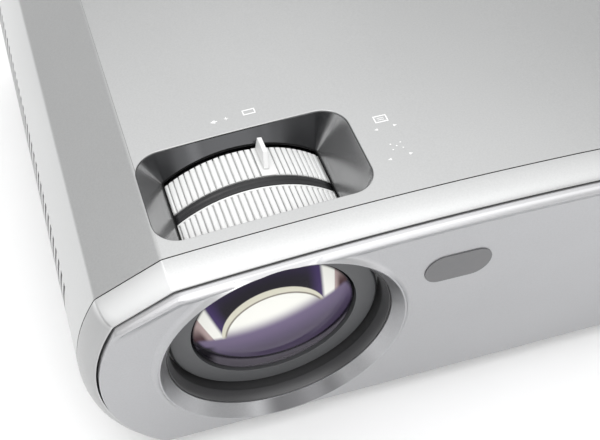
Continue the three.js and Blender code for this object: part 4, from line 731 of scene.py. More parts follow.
def photoCamera():
    view = {"yaw": 20.474, "pitch": 56.9608, "roll": 3.1022, "place": (-0.10426, -0.19886, 0.22129)}
    imageWidth, imageHeight, focalPixels = 600, 440, 848.06
    axisPixelX, axisPixelY = 280.62, 348.76
    yaw, pitch, roll = (radians(view[key]) for key in ("yaw", "pitch", "roll"))
    ahead = Vector((sin(yaw) * cos(pitch), cos(yaw) * cos(pitch), -sin(pitch)))
    level = Vector((cos(yaw), -sin(yaw), 0))
    upright = level.cross(ahead)
    right = level * cos(roll) + upright * sin(roll)
    up = upright * cos(roll) - level * sin(roll)
    data = bpy.data.cameras.new("camera")
    camera = bpy.data.objects.new("camera", data)
    bpy.context.scene.collection.objects.link(camera)
    turn = Matrix((right, up, -ahead)).transposed().to_4x4()
    camera.matrix_world = Matrix.Translation(view["place"]) @ turn
    data.sensor_width = 36
    data.lens = focalPixels * data.sensor_width / imageWidth
    data.shift_x = (imageWidth / 2 - axisPixelX) / imageWidth
    data.shift_y = (axisPixelY - imageHeight / 2) / imageWidth
    data.clip_start = 0.01
    bpy.context.scene.camera = camera


studio()
photoCamera()
bpy.context.scene.view_settings.view_transform = "Standard"
print("stage ready")

# Housing: top cover, bezel, front panel

ringWell = {
    "halfWidth": 26.6, "front": 13.2, "back": 41.5, "cornerRadius": 6.5,
    "slotHalfWidth": 20.4, "slotBack": 38.5, "slotCorner": 0.6, "ringReach": 32.75, "wall": 1.1,
}
keypadButtons = {
    "power_button": "power", "source_button": "bar", "menu_button": "bars", "up_button": "up",
    "down_button": "down", "left_button": "left", "right_button": "right",
}


def wellRimMoves(outset, straightSteps=1, cornerSteps=12):
    left, right = lensX - ringWell["halfWidth"] - outset, lensX + ringWell["halfWidth"] + outset
    front, back = faceY + ringWell["front"] - outset, faceY + ringWell["back"] + outset
    radius = ringWell["cornerRadius"] + outset
    return roundedMoves(left, right, front, back, radius, straightSteps, cornerSteps)


def makeTopCover():
    cover = {
        "shoulderBevel": 0.6, "rearRounding": 2.2, "wellLip": 0.2, "rimBevel": 0.18,
        "slotPitch": 4, "slotWidth": 1.8, "slotBottom": 25.5, "slotTop": 50.8, "slotReach": (88, 120),
        "leftSlots": (26.1, 31), "rightSlots": (86, 12), "holeGap": 0.35, "holeReach": (70, 90),
        "wellCut": (60, 30),
    }
    front = faceY + housing["seam"] + housing["seamGap"]
    back = faceY + housing["depth"]
    start, moves = sectionMoves(housing)
    centre = housing["width"] / 2 - housing["sideRadius"]
    low, partingReach = sideAt(housing, housing["parting"])
    high, shoulderReach = sideAt(housing, housing["shoulder"])
    side = (housing["bulge"], -degrees(high - low), sectionSteps["side"])
    openMoves = [("arc", -centre, *side), ("line", *start), *moves[:2], ("arc", centre, *side)]
    piece = drawChain("topCover", "xz", front, (-partingReach, housing["parting"]), openMoves)
    extrudeAll(piece, (0, back - front, 0))
    mergeAndTurnOut(piece)
    creases = (housing["plateau"] / 2, shoulderReach)
    selectEdges(piece, lambda a, b, edge: abs(a.x - b.x) < 0.01 and abs(a.y - b.y) > 100
                and min(abs(abs(a.x) - crease) for crease in creases) < closeEnough and a.z > 60)
    bevelSelected(cover["shoulderBevel"], 4)
    outerCount = len(piece.data.vertices)
    thickened(piece, housing["wall"], -1).use_even_offset = True
    applyModifiers(piece)
    selectEdges(piece, lambda a, b, edge: max(edge.vertices) < outerCount and min(a.y, b.y) > back - 0.01)
    bevelSelected(cover["rearRounding"], 4)
    cutFrom, cutHeight = cover["wellCut"]
    rim = fillOutline(drawChain("wellOpening", "xy", cutFrom, *wellRimMoves(cover["wellLip"])))
    extrudeAll(rim, (0, 0, cutHeight))
    combine(piece, mergeAndTurnOut(rim), "DIFFERENCE")
    for side, (slotStart, count) in ((-1, cover["leftSlots"]), (1, cover["rightSlots"])):
        near, far = sorted(side * reach for reach in cover["slotReach"])
        slot = block("slotBar", (near, faceY + slotStart, cover["slotBottom"]),
                     (far, faceY + slotStart + cover["slotWidth"], cover["slotTop"]))
        array = slot.modifiers.new("row", "ARRAY")
        array.count = count
        array.use_relative_offset = False
        array.use_constant_offset = True
        array.constant_offset_displace = (0, cover["slotPitch"] * mm, 0)
        combine(piece, applyModifiers(slot), "DIFFERENCE")
    holes = []
    for node in [*keypadButtons, "power_light", "lamp_light"]:
        middle = middleOf(node)
        radius = nodeTopRadius(node) + cover["holeGap"]
        holes.append(rod("hole", "z", radius, *cover["holeReach"], (middle.x, middle.y)))
    combine(piece, gather(holes, "holes"), "DIFFERENCE")
    mergeAndTurnOut(piece)
    selectEdges(piece, lambda a, b, edge: onWellRim(a, cover["wellLip"]) and onWellRim(b, cover["wellLip"]))
    bevelSelected(cover["rimBevel"], 3)
    finish(smooth(piece, 19), "topCoverShell", "housing", silver, ["top_cover"])


# Reach of a button's cap, which is narrower than the flange under it
def nodeTopRadius(node):
    middle, top = middleOf(node), boxOf(node)[1].z
    points = [vertex.co / mm for vertex in nodes[node].data.vertices]
    return max(sqrt((p.x - middle.x) ** 2 + (p.y - middle.y) ** 2) for p in points if p.z > top - 1)


# True for the upper corner of the well's opening
def onWellRim(point, lip):
    reach = lip + 0.05  # a little over the opening's edge
    inside = abs(point.x - lensX) < ringWell["halfWidth"] + reach
    deep = faceY + ringWell["front"] - reach < point.y < faceY + ringWell["back"] + reach
    return inside and deep and abs(point.z - crownHeight(point.x)) < closeEnough


makeTopCover()
print("top cover ready")


def makeBezel():
    bezel = {"setback": 1.5, "exponent": 1.7, "steps": 12, "creaseBevel": 0.4, "ledgeDepth": 3.6}
    rings = []
    power = 2 / bezel["exponent"]
    near, far = faceY + bezel["setback"], faceY + housing["seam"]
    for step in range(bezel["steps"] + 1):
        swing = pi / 2 * step / bezel["steps"]
        depthShare = 1 - cos(swing) ** power if step < bezel["steps"] else 1
        insetShare = 1 - sin(swing) ** power
        shape = {
            key: housing[key] + (inner - housing[key]) * insetShare for key, inner in openingSection.items()}
        ring = drawChain("ring", "xz", near + (far - near) * depthShare, *sectionMoves(shape))
        rings.append(mergeLoop(ring))
    for depth in (far, near + bezel["ledgeDepth"], near):
        rings.append(mergeLoop(drawChain("ring", "xz", depth, *sectionMoves(openingSection))))
    piece = loftOf("bezelFrame", rings)
    mergeAndTurnOut(piece)
    selectEdges(piece, lambda a, b, edge: abs(a.y - b.y) > 0.01 and nearCrease(a) and nearCrease(b))
    bevelSelected(bezel["creaseBevel"], 3)
    finish(smooth(piece, 19), "bezelFrame", "housing", bezelSilver, ["front_bezel"])


# The outline's corners on the right: the shoulder's foot and the crown's end
def cornersOf(shape):
    reach = sideAt(shape, shape["shoulder"])[1]
    return (reach, shape["shoulder"]), (shape["plateau"] / 2, shape["top"] - shape["drop"])


creaseGap = 0.12  # how far a vertex may lie from a corner's line, in millimetres


# True where a point lies between the outer and the inner outline's same corner
def nearCrease(point):
    for (x1, z1), (x2, z2) in zip(cornersOf(housing), cornersOf(openingSection)):
        span = Vector((x2 - x1, z2 - z1))
        away = Vector((abs(point.x) - x1, point.z - z1))
        share = max(0, min(1, away.dot(span) / span.length_squared))
        if (away - span * share).length < creaseGap:
            return True
    return False


makeBezel()
print("bezel ready")


def selectFaces(piece, wanted):
    edit(piece, "FACE", everything=False)
    leaveEdit()
    for face in piece.data.polygons:
        face.select = wanted(face.center / mm, face.normal)
    bpy.ops.object.mode_set(mode="EDIT")


# The bead runs along the top edge and fades out between two heights. The collar is cut off at the panel's
# outline, reaches down over the chin, and has a cone cut through it and the bead.
def makeFrontPanel():
    panel = {
        "thickness": 3.2, "edge": 0.3, "edgeInset": 0.3, "beadFade": (61.5, 63.8),
        "beadInsets": (0.1, 0.18, 0.2, 0.22, 0.18, 0.12, 0.12, 0.15, 0.5, 0.6, 0.6, 0.4, 0.4),
        "beadHeights": (0.25, 0.5, 0.72, 0.92, 1.04, 1.09, 1.1, 1.06, 0.82, 0.5, 0.2, 0.04, 0),
        "collar": (
            (30, 2.35), (30.1, 2.2), (32.35, -1.12), (32.52, -1.27), (32.75, -1.28), (33.0, -0.95),
            (33.4, -0.45), (33.9, -0.17), (34.5, -0.02), (35.1, 0.12), (35.1, 3.0), (30, 3.0)),
        "cone": ((35.7, -6), (32.35, -1.12), (30.1, 2.2), (30, 2.35), (30, 6)), "coneGap": 0.02,
        "sideMargin": 0.3, "topMargin": 0.15, "chin": (4.4, 9.5), "chinHalfWidth": 40,
        "chinReach": 5, "windowGap": 0.04, "windowReach": (-4, 6), "steps": 128,
    }
    back, cheek = faceY + panel["thickness"], faceY + panel["edge"]
    fadeLow, fadeHigh = panel["beadFade"]
    piece = prismOf("frontPanelPlate", "xz", *sectionMoves(panelSection), back, cheek)
    selectFaces(piece, lambda middle, normal: normal.y < -0.9 and middle.y < cheek + 0.01)
    bevelWidth = panel["edge"] * panel["edgeInset"] * mm
    bpy.ops.mesh.inset(thickness=bevelWidth, depth=panel["edge"] * mm - bevelWidth)
    for inset, rise in zip(panel["beadInsets"], panel["beadHeights"]):
        bpy.ops.mesh.inset(thickness=inset * mm, depth=0)
        leaveEdit()
        for vertex in piece.data.vertices:
            if vertex.select:
                share = max(0, min(1, (vertex.co.z / mm - fadeLow) / (fadeHigh - fadeLow)))
                vertex.co.y = (faceY - rise * share * share * (3 - 2 * share)) * mm
        bpy.ops.object.mode_set(mode="EDIT")
    leaveEdit()
    mergeAndTurnOut(piece)
    collar = turned("collar", panel["collar"][-1], lines(*panel["collar"]), steps=panel["steps"])
    limit = dict(
        panelSection, width=panelSection["width"] - panel["sideMargin"],
        top=panelSection["top"] - panel["topMargin"])
    front, rear = faceY - panel["chinReach"], faceY + panel["chinReach"]
    keep = prismOf("collarLimit", "xz", *sectionMoves(limit), front, rear)
    (chinLow, chinHigh), half = panel["chin"], panel["chinHalfWidth"]
    combine(keep, block("chin", (lensX - half, front, chinLow), (lensX + half, rear, chinHigh)), "UNION")
    combine(collar, keep, "INTERSECT")
    combine(piece, collar, "UNION")
    shadedFlank = [(radius + panel["coneGap"], depth) for radius, depth in panel["cone"]]
    ends = [(0, shadedFlank[0][1]), (0, shadedFlank[-1][1])]
    cone = turned("cone", ends[0], lines(*shadedFlank, ends[1]), steps=panel["steps"])
    combine(piece, cone, "DIFFERENCE")
    near, far = (faceY + depth for depth in panel["windowReach"])
    combine(piece, windowPrism("windowHole", panel["windowGap"], near, far), "DIFFERENCE")
    mergeAndTurnOut(piece)
    finish(smooth(piece, 42), "frontPanelPlate", "housing", panelSilver, ["front_panel"])


def windowPrism(name, outset, near, far):
    low, high = boxOf("ir_window")
    bottom, top = low.z - outset, high.z + outset
    radius = (top - bottom) / 2 - 0.06  # a little less than half, so that the ends keep a short straight
    outline = roundedMoves(low.x - outset, high.x + outset, bottom, top, radius, 1, 16)
    return prismOf(name, "xz", *outline, near, far)


def makeWindow():
    window = {"edge": 0.05, "proud": 0.3}
    piece = windowPrism("signalWindow", 0, faceY - window["proud"], boxOf("ir_window")[1].y)
    bevelEdges(piece, window["edge"], 3, 60)
    finish(smooth(piece, 40), "signalWindow", "housing", windowGrey, ["ir_window"])


makeFrontPanel()
makeWindow()
print("front panel ready")

# Ring well, black strip of painted shadow in the slot's gap, rings and spacer

# Black for the strip of painted shadow in the slot's gap
gapShadowBlack = grained("gapShadowBlack", {
    "tones": ((0.006, 0.006, 0.006), (0.012, 0.012, 0.012)), "roughness": (0.8, 0.9), "grain": 1200,
    "specular": 0.1})


# Height of the slot's edge over the rings
def slotHeight(x):
    return lensZ + sqrt(max(ringWell["ringReach"] ** 2 - (x - lensX) ** 2, 0))


def makeWell():
    well = {"straightSteps": 20, "cornerSteps": 12, "rimDrop": 0.35, "skirt": 0.4}
    steps = (well["straightSteps"], well["cornerSteps"])
    half = ringWell["slotHalfWidth"]
    front, back = faceY + ringWell["front"], faceY + ringWell["slotBack"]
    slot = roundedMoves(lensX - half, lensX + half, front, back, ringWell["slotCorner"], *steps)
    outlines = ((0, wellRimMoves(0, *steps)), (-5, slot), (-10, slot))  # heights that keep them apart
    rings = [mergeLoop(drawChain("wellRing", "xy", at, *outline)) for at, outline in outlines]
    count = len(rings[0].data.vertices)
    piece = loftOf("ringWellFunnel", rings)
    for vertex in piece.data.vertices:
        x = vertex.co.x / mm
        heights = (crownHeight(x) - well["rimDrop"], slotHeight(x), slotHeight(x) - well["skirt"])
        vertex.co.z = heights[vertex.index // count] * mm
    edit(piece)
    bpy.ops.mesh.normals_make_consistent(inside=False)
    leaveEdit()
    thickened(piece, ringWell["wall"], 1)
    applyModifiers(piece)
    finish(smooth(piece, 30), "ringWellFunnel", "housing", wellGrey, ["ring_well"])


# Painted shadow: a black strip under the slot's edge, clear of the turning rings, that stands for the
# shadowed gap there
def makeGapShadowStrip():
    gapShadow = {
        "side": 0.3, "back": 0.12, "front": 0.1, "drop": 0.05, "thickness": 0.3, "hidden": 0.3,
        "frontGap": 0.4, "corners": (0.8, 0.6), "steps": (24, 4),
    }
    reach = ringWell["slotHalfWidth"] + gapShadow["hidden"]
    front = faceY + ringWell["front"] + gapShadow["frontGap"]
    back = faceY + ringWell["slotBack"] + gapShadow["hidden"]
    outerCorner, innerCorner = gapShadow["corners"]
    outer = roundedMoves(lensX - reach, lensX + reach, front, back, outerCorner, *gapShadow["steps"])
    reach -= gapShadow["hidden"] + gapShadow["side"]
    front += gapShadow["front"]
    back -= gapShadow["hidden"] + gapShadow["back"]
    inner = roundedMoves(lensX - reach, lensX + reach, front, back, innerCorner, *gapShadow["steps"])
    rings = [mergeLoop(drawChain("gapShadowEdge", "xy", 0, *moves)) for moves in (outer, inner)]
    piece = loftOf("slotGapShadow", rings)
    for vertex in piece.data.vertices:
        vertex.co.z = (slotHeight(vertex.co.x / mm) - gapShadow["drop"]) * mm
    thickened(piece, gapShadow["thickness"], 0)
    applyModifiers(piece)
    mergeAndTurnOut(piece, 0.001)
    finish(smooth(piece, 30), "slotGapShadow", "housing", gapShadowBlack)


# The focus ring ends in a smooth rim, the zoom ring's ribs run out beside a smooth patch
def makeRibbedRing(near, far, firstRib, ribs, patch):
    ring = {
        "radius": 32.05, "bore": 27.5, "ribs": 124, "ribWidth": 1.36, "ribHeight": 0.6, "ribEdge": 0.3,
        "ribRoot": 0.5, "rimEdge": 0.35, "rimDepths": (0.7, 0.6, 0.2), "rimRounding": 0.2,
        "patchFrom": 4.4, "patchTo": 10.9, "patchSteps": 8, "patchBevel": (0.15, 0.2), "steps": 108,
    }
    crest, edge, bore = ring["radius"], ring["rimEdge"], ring["bore"]
    ringFloor = crest - ring["ribHeight"]
    root, half = ringFloor - ring["ribRoot"], ring["ribWidth"] / 2
    if patch:
        rim = [(ringFloor, far - edge), (ringFloor - edge, far)]
    else:
        valley, foot, top = (far - depth for depth in ring["rimDepths"])
        rim = [(ringFloor, valley), (crest, foot), (crest, top), (crest - ring["rimRounding"], far)]
    outline = lines((ringFloor - edge, near), (ringFloor, near + edge), *rim, (bore, far), (bore, near))
    core = turned("ringCore", (bore, near), outline, steps=ring["steps"])
    rib = block("rib", (lensX - half, faceY + near, lensZ + root), (lensX + half, faceY + far, lensZ + crest))
    selectEdges(rib, lambda a, b, e: min(a.z, b.z) > lensZ + crest - 0.01)
    bevelSelected(ring["ribEdge"], 1)
    pitch = 2 * pi / ring["ribs"]
    turnPiece(rib, pitch * firstRib)
    edit(rib)
    swing = -pitch * (ribs - 1)
    bpy.ops.mesh.spin(steps=ribs - 1, dupli=True, angle=swing, center=lensCentre, axis=(0, 1, 0))
    leaveEdit()
    parts = [core, rib]
    if patch:
        inward, along = ring["patchBevel"]
        points = [
            (root, near), (crest - inward, near), (crest, near + along), (crest, far - along),
            (crest - inward, far), (root, far), (root, near)]
        start, *rest = [(lensX + radius, faceY + depth) for radius, depth in points]
        profile = fillOutline(drawChain("patch", "xy", lensZ, start, lines(*rest)))
        turnPiece(profile, radians(ring["patchFrom"]) - pi / 2)
        edit(profile)
        swing = -radians(ring["patchTo"] - ring["patchFrom"])
        bpy.ops.mesh.spin(steps=ring["patchSteps"], angle=swing, center=lensCentre, axis=(0, 1, 0))
        leaveEdit()
        parts.append(mergeAndTurnOut(profile))
    return gather(parts, "ribbedRing")


def makeRings():
    rings = {"focus": (12, 24.8, 0.5, 124, False), "zoom": (28.3, 37.95, 3.9, 122, True)}
    fin = {
        "angle": 7.4, "thickness": 1.2, "front": 30.2, "flat": 32.6, "back": 37.7, "height": 35.5,
        "root": 31, "foot": 32.4, "edge": 0.12,
    }
    spacer = {
        "bore": 27.5, "radius": 31.9, "rounding": 0.3, "reach": (25.1, 28), "groove": (26.2, 26.55, 26.9),
    }
    focus = smooth(makeRibbedRing(*rings["focus"]), 35)
    finish(focus, "focusRingRibbed", "focus_ring", ringWhite, ["focus_ring"])
    zoom = makeRibbedRing(*rings["zoom"])
    points = [
        (fin["front"], fin["root"]), (fin["front"], fin["foot"]), (fin["flat"], fin["height"]),
        (fin["back"], fin["height"]), (fin["back"], fin["root"]), (fin["front"], fin["root"])]
    start, *rest = [(faceY + depth, lensZ + radius) for depth, radius in points]
    half = fin["thickness"] / 2
    blade = prismOf("zoomFin", "yz", start, lines(*rest), lensX - half, lensX + half)
    bevelEdges(blade, fin["edge"], 3, 30)
    turnPiece(blade, radians(fin["angle"]))
    zoom = smooth(gather([zoom, blade], "zoomRingRibbed"), 35)
    finish(zoom, "zoomRingRibbed", "zoom_ring", ringWhite, ["zoom_ring"])
    bore, radius, rounding = (spacer[key] for key in ("bore", "radius", "rounding"))
    front, back = spacer["reach"]
    inset = radius - rounding
    grooveFront, grooveMiddle, grooveBack = spacer["groove"]
    band = turned("spacerBand", (bore, front), [
        ("line", inset, front), ("arc", inset, front + rounding, 90, 3),
        *lines((radius, grooveFront), (inset, grooveMiddle), (radius, grooveBack), (radius, back - rounding)),
        ("arc", inset, back - rounding, 90, 3), *lines((bore, back), (bore, front))])
    finish(smooth(band, 35), "spacerBand", "housing", satinBlack, ["ring_spacer"])


makeWell()
makeGapShadowStrip()
makeRings()
print("well and rings ready")

# Lens: shroud, front cell and glass

# Dark shroud plastic with painted shade in its recesses
shroudGrey = grained("shroudGrey", {
    "tones": ((0.066, 0.066, 0.068), (0.078, 0.078, 0.08)), "roughness": (0.3, 0.4), "grain": 1800,
    "recessShade": (3, 0.5), "metallic": 0.2})


def makeLens():
    optics = {
        "steps": 128, "shroud": (
            (28.7, 5.65), (28.78, 4.9), (28.95, 4.1), (29.2, 3.35), (29.5, 2.7), (29.68, 2.5), (29.88, 2.6),
            (29.88, 3.5), (32.4, 3.5), (32.4, 5.6), (31.2, 5.6), (31.2, 11), (29.5, 11), (29.5, 5.9)),
        "cellLip": (27.5, 7.9), "cellRounding": (27.5, 8.4, 80, 4), "cellEdge": 0.15, "cell": (
            (28.4, 8.8), (28.4, 10.1), (24.3, 10.1), (24.3, 26), (20, 26), (20, 15.2), (22.4, 15.2),
            (22.4, 7.9)),
    }
    shroud = turned("lensShroudRing", optics["shroud"][-1], lines(*optics["shroud"]), steps=optics["steps"])
    finish(smooth(shroud, 35), "lensShroudRing", "housing", shroudGrey, ["lens_shroud"])
    cell = turned("frontCellRing", optics["cell"][-1], [
        ("line", *optics["cellLip"]), ("arc", *optics["cellRounding"]), *lines(*optics["cell"])],
        steps=optics["steps"])
    bevelEdges(cell, optics["cellEdge"], 2, 60)
    finish(smooth(cell, 35), "frontCellRing", "front_lens_group", lensGrey, ["front_lens_cell"])
    glass = {"radius": 22.1, "domeRadius": 21.7, "edgeDepth": 8.8, "bulge": 4.2, "edge": 0.3, "back": 14.9}
    sphere = (glass["radius"] ** 2 + glass["bulge"] ** 2) / (2 * glass["bulge"])
    apex = glass["edgeDepth"] - glass["bulge"]
    lens = turned("frontGlass", (0, apex), [
        ("arc", 0, apex + sphere, degrees(asin(glass["domeRadius"] / sphere)), 24),
        *lines((glass["radius"], glass["edgeDepth"] + glass["edge"]), (glass["radius"], glass["back"]),
               (0, glass["back"]))], steps=optics["steps"])
    smooth(lens, 10, weighted=False)
    finish(lens, "frontGlass", "front_lens_group", reflectionPaintedGlass, ["front_lens"])


makeLens()
print("lens ready")

# Printed marks: plain arrows, bars and frames, a hair above the crown

marks = {
    "thickness": 0.05, "sink": 0.02, "line": 0.34,
    "printed": [  # places count from the lens axis and the face
        ("arrow", -4.2, 46.3, 1.3, 0.65, -1), ("bar", -4.2, 46.15, -3.6, 46.45),
        ("bar", -1.9, 46.35, -0.8, 46.58), ("bar", -1.46, 45.9, -1.24, 47.0),
        ("frame", 3.0, 46.0, 6.3, 47.8), ("frame", 32.9, 32.8, 36.4, 35.2),
        ("bar", 33.8, 33.6, 35.5, 33.8), ("bar", 33.8, 34.2, 35.5, 34.4),
        ("arrow", 32.7, 30.7, 1.0, 0.4, -1), ("arrow", 36.8, 30.9, 1.0, 0.4, 1),
        ("arrow", 32.2, 20.4, 1.0, 0.4, -1), ("arrow", 36.9, 20.8, 1.0, 0.4, 1),
        ("bar", 33.5, 24.9, 33.9, 25.25), ("bar", 36.1, 24.9, 36.5, 25.25),
        ("bar", 33.5, 23.0, 33.9, 23.35), ("bar", 36.1, 23.0, 36.5, 23.35), ("bar", 34.8, 24.0, 35.2, 24.35),
    ],
}


def flatShape(name, points):
    start, *rest = points
    piece = fillOutline(drawChain(name, "xy", 0, start, lines(*rest, start)))
    extrudeAll(piece, (0, 0, marks["thickness"]))
    return mergeAndTurnOut(piece, 0.001)


def bar(x0, y0, x1, y1):
    return flatShape("bar", [(x0, y0), (x1, y0), (x1, y1), (x0, y1)])


def frameOfBars(x0, y0, x1, y1, line):
    return [bar(x0, y0, x1, y0 + line), bar(x0, y1 - line, x1, y1), bar(x0, y0 + line, x0 + line, y1 - line),
            bar(x1 - line, y0 + line, x1, y1 - line)]


def arrow(x, y, length, half, pointing):
    return flatShape("arrow", [(x, y + half), (x, y - half), (x + length * pointing, y)])


def layOn(piece, heightAt):
    for vertex in piece.data.vertices:
        vertex.co.z += heightAt(vertex.co.x / mm) * mm - marks["sink"] * mm
    return piece


def makeMarks():
    shapes = []
    for kind, x, y, *rest in marks["printed"]:
        start = (lensX + x, faceY + y)
        if kind == "arrow":
            shapes.append(arrow(*start, *rest))
            continue
        end = (lensX + rest[0], faceY + rest[1])
        shapes += [bar(*start, *end)] if kind == "bar" else frameOfBars(*start, *end, marks["line"])
    piece = layOn(gather(shapes, "printedMarks"), crownHeight)
    finish(piece, "printedMarks", "housing", markWhite)


makeMarks()
print("marks ready")

# Keypad: domed caps with printed symbols, and two small lights

buttonGrey = grained("buttonGrey", {
    "tones": ((0.30, 0.305, 0.31), (0.34, 0.345, 0.35)), "roughness": (0.36, 0.46), "grain": 1500,
    "metallic": 0.4})
lampGreen = grained("lampGreen", {
    "tones": ((0.04, 0.32, 0.10), (0.06, 0.42, 0.14)), "roughness": (0.12, 0.2), "grain": 600})
lampAmber = grained("lampAmber", {
    "tones": ((0.55, 0.26, 0.03), (0.65, 0.32, 0.04)), "roughness": (0.12, 0.2), "grain": 600})


def capSymbol(kind, x, y):
    symbol = {
        "length": 1.5, "half": 0.95, "share": 0.4, "barHalf": 1.3, "barRise": 0.15, "barGap": 0.9,
        "line": 0.28, "ring": (1.7, 1.35), "ringFrom": 120, "ringTurn": 300, "ringSteps": 20,
        "stem": (0.17, 0.5, 2.0),
    }
    length, half, wide, tall = (symbol[key] for key in ("length", "half", "barHalf", "barGap"))
    pointing = 1 if kind in ("right", "up") else -1
    base = -pointing * length * symbol["share"]
    if kind in ("left", "right"):
        return [arrow(x + base, y, length, half, pointing)]
    if kind in ("up", "down"):
        foot = y + base
        return [flatShape("arrow", [(x - half, foot), (x + half, foot), (x, foot + pointing * length)])]
    if kind == "bars":
        rise = symbol["barRise"]
        return [bar(x - wide, y + step - rise, x + wide, y + step + rise) for step in (-tall, 0, tall)]
    if kind == "bar":
        return frameOfBars(x - wide, y - tall, x + wide, y + tall, symbol["line"])
    outer, inner = symbol["ring"]
    ring = []
    for step in range(symbol["ringSteps"]):
        turns = (symbol["ringTurn"] * (step + k) / symbol["ringSteps"] for k in (0, 1))
        a0, a1 = (radians(symbol["ringFrom"] + turn) for turn in turns)
        corners = ((outer, a0), (outer, a1), (inner, a1), (inner, a0))
        ring.append(flatShape("arc", [(x + r * cos(a), y + r * sin(a)) for r, a in corners]))
    stemHalf, stemLow, stemHigh = symbol["stem"]
    return [*ring, bar(x - stemHalf, y + stemLow, x + stemHalf, y + stemHigh)]


def makeKeypad():
    cap = {
        "rounding": 0.5, "roundingTurn": 86, "crown": 0.12, "domeShare": (0.45, 0.2), "flange": 1.2,
        "flangeReach": 1.0, "markRise": 0.06, "markSink": 0.005, "lightRounding": 0.5, "lightTurn": 80,
    }
    for node, symbol in keypadButtons.items():
        low, high = boxOf(node)
        x, y = (low.x + high.x) / 2, (low.y + high.y) / 2
        reach = (high.x - low.x) / 2
        radius, top = reach - cap["flangeReach"], high.z - cap["markRise"]
        flange, edge = low.z + cap["flange"], top - cap["rounding"] - cap["crown"]
        across, down = cap["domeShare"]
        piece = turned("cap", (0, low.z), [
            *lines((reach, low.z), (reach, flange), (radius, flange), (radius, edge)),
            ("arc", radius - cap["rounding"], edge, cap["roundingTurn"], 5),
            *lines((radius * across, top - cap["crown"] * down), (0, top))], "z", (x, y), 0, 48)
        finish(smooth(piece, 40), node.replace("_button", "Cap"), node, buttonGrey, [node])
        height = high.z - marks["thickness"] + marks["sink"] - cap["markSink"]
        mark = layOn(gather(capSymbol(symbol, x, y), "mark"), lambda place: height)
        finish(mark, node.replace("_button", "Symbol"), node, markWhite)
    for node, material in (("power_light", lampGreen), ("lamp_light", lampAmber)):
        low, high = boxOf(node)
        x, y = (low.x + high.x) / 2, (low.y + high.y) / 2
        radius, edge = (high.x - low.x) / 2, high.z - cap["lightRounding"]
        piece = turned("light", (0, low.z), [
            *lines((radius, low.z), (radius, edge)),
            ("arc", radius - cap["lightRounding"], edge, cap["lightTurn"], 4), ("line", 0, high.z)],
            "z", (x, y), 0, 32)
        finish(smooth(piece, 40), node.replace("_light", "Lens"), "housing", material, [node])


makeKeypad()
print("keypad ready")

# Rear and underside: bevelled copies of the solids with their fittings

slotOf = {part["node"]: part["material_slot"] for part in frame["record"]["subparts"]}
bodyOf = {node: body for body, members in frame["record"]["behaviour"]["bodies"].items() for node in members}
insertBlue = grained("insertBlue", {
    "tones": ((0.02, 0.06, 0.30), (0.03, 0.08, 0.36)), "roughness": (0.4, 0.5), "grain": 900})
insertBlack = grained("insertBlack", {
    "tones": ((0.015, 0.015, 0.016), (0.024, 0.024, 0.026)), "roughness": (0.45, 0.55), "grain": 900})
insertYellow = grained("insertYellow", {
    "tones": ((0.72, 0.50, 0.03), (0.80, 0.57, 0.05)), "roughness": (0.35, 0.45), "grain": 900})
insertGreen = grained("insertGreen", {
    "tones": ((0.10, 0.38, 0.12), (0.13, 0.45, 0.15)), "roughness": (0.35, 0.45), "grain": 900})


def bevelledCopy(node, name, width, segments=2):
    piece = copyOf(nodes[node], name)
    for key in list(piece.keys()):
        del piece[key]
    piece.parent = None
    piece.matrix_world = Matrix.Identity(4)
    edit(piece)
    bpy.ops.mesh.remove_doubles(threshold=0.001 * mm)
    bpy.ops.mesh.dissolve_limited(angle_limit=radians(0.5))
    leaveEdit()
    if width:
        bevelEdges(piece, width, segments, 40)
    finish(smooth(piece), name, bodyOf[node], slotMaterials[slotOf[node]], [node])


# D-shaped port: an insert with pin holes, and a threaded nut on each side
def fillPort(node, rows, count, material):
    port = {
        "halfWidth": 6.6, "halfHeight": 2.7, "slant": 1.3, "setback": 1.1, "thickness": 1.6,
        "pinRadius": 0.45, "pinDepth": 1.2, "pitch": 2.3, "stagger": 0.3, "rise": {3: 1.805, 2: 2.7075},
        "nutReach": 11.2, "nutRadius": 2.1, "nut": (82.75, 84.6), "nutEdge": 0.2,
        "threadRadius": 1.1, "thread": (83.4, 86),
    }
    high, middle = boxOf(node)[1], middleOf(node)
    x, z = middle.x, middle.z
    half, tall, slant = port["halfWidth"], port["halfHeight"], port["slant"]
    face = high.y - port["setback"]
    start = (x - half + slant, z - tall)
    outline = lines((x + half - slant, z - tall), (x + half, z + tall), (x - half, z + tall), start)
    insert = prismOf("insert", "xz", start, outline, face - port["thickness"], face)
    rise = port["rise"][rows]
    holes = []
    for row in range(rows):
        for k in range(count):
            place = (x + (k - (count - 1) / 2) * port["pitch"] + (row % 2) * port["stagger"],
                     z + (row - (rows - 1) / 2) * rise)
            holes.append(rod("pinHole", "y", port["pinRadius"], face - port["pinDepth"], face + 1, place, 12))
    combine(insert, gather(holes, "holes"), "DIFFERENCE")
    name = node.replace("vga", "monitor")
    finish(smooth(insert, 35), name.replace("_port", "PortInsert"), "housing", material)
    nuts = []
    for side in (-1, 1):
        place = (x + side * port["nutReach"], z)
        nut = rod("nut", "y", port["nutRadius"], *port["nut"], place, 6)
        combine(nut, rod("thread", "y", port["threadRadius"], *port["thread"], place, 20), "DIFFERENCE")
        nuts.append(bevelEdges(nut, port["nutEdge"], 2, 50))
    nuts = smooth(gather(nuts, "nuts"), 35)
    finish(nuts, name.replace("_port", "PortNuts"), "housing", brightMetal)


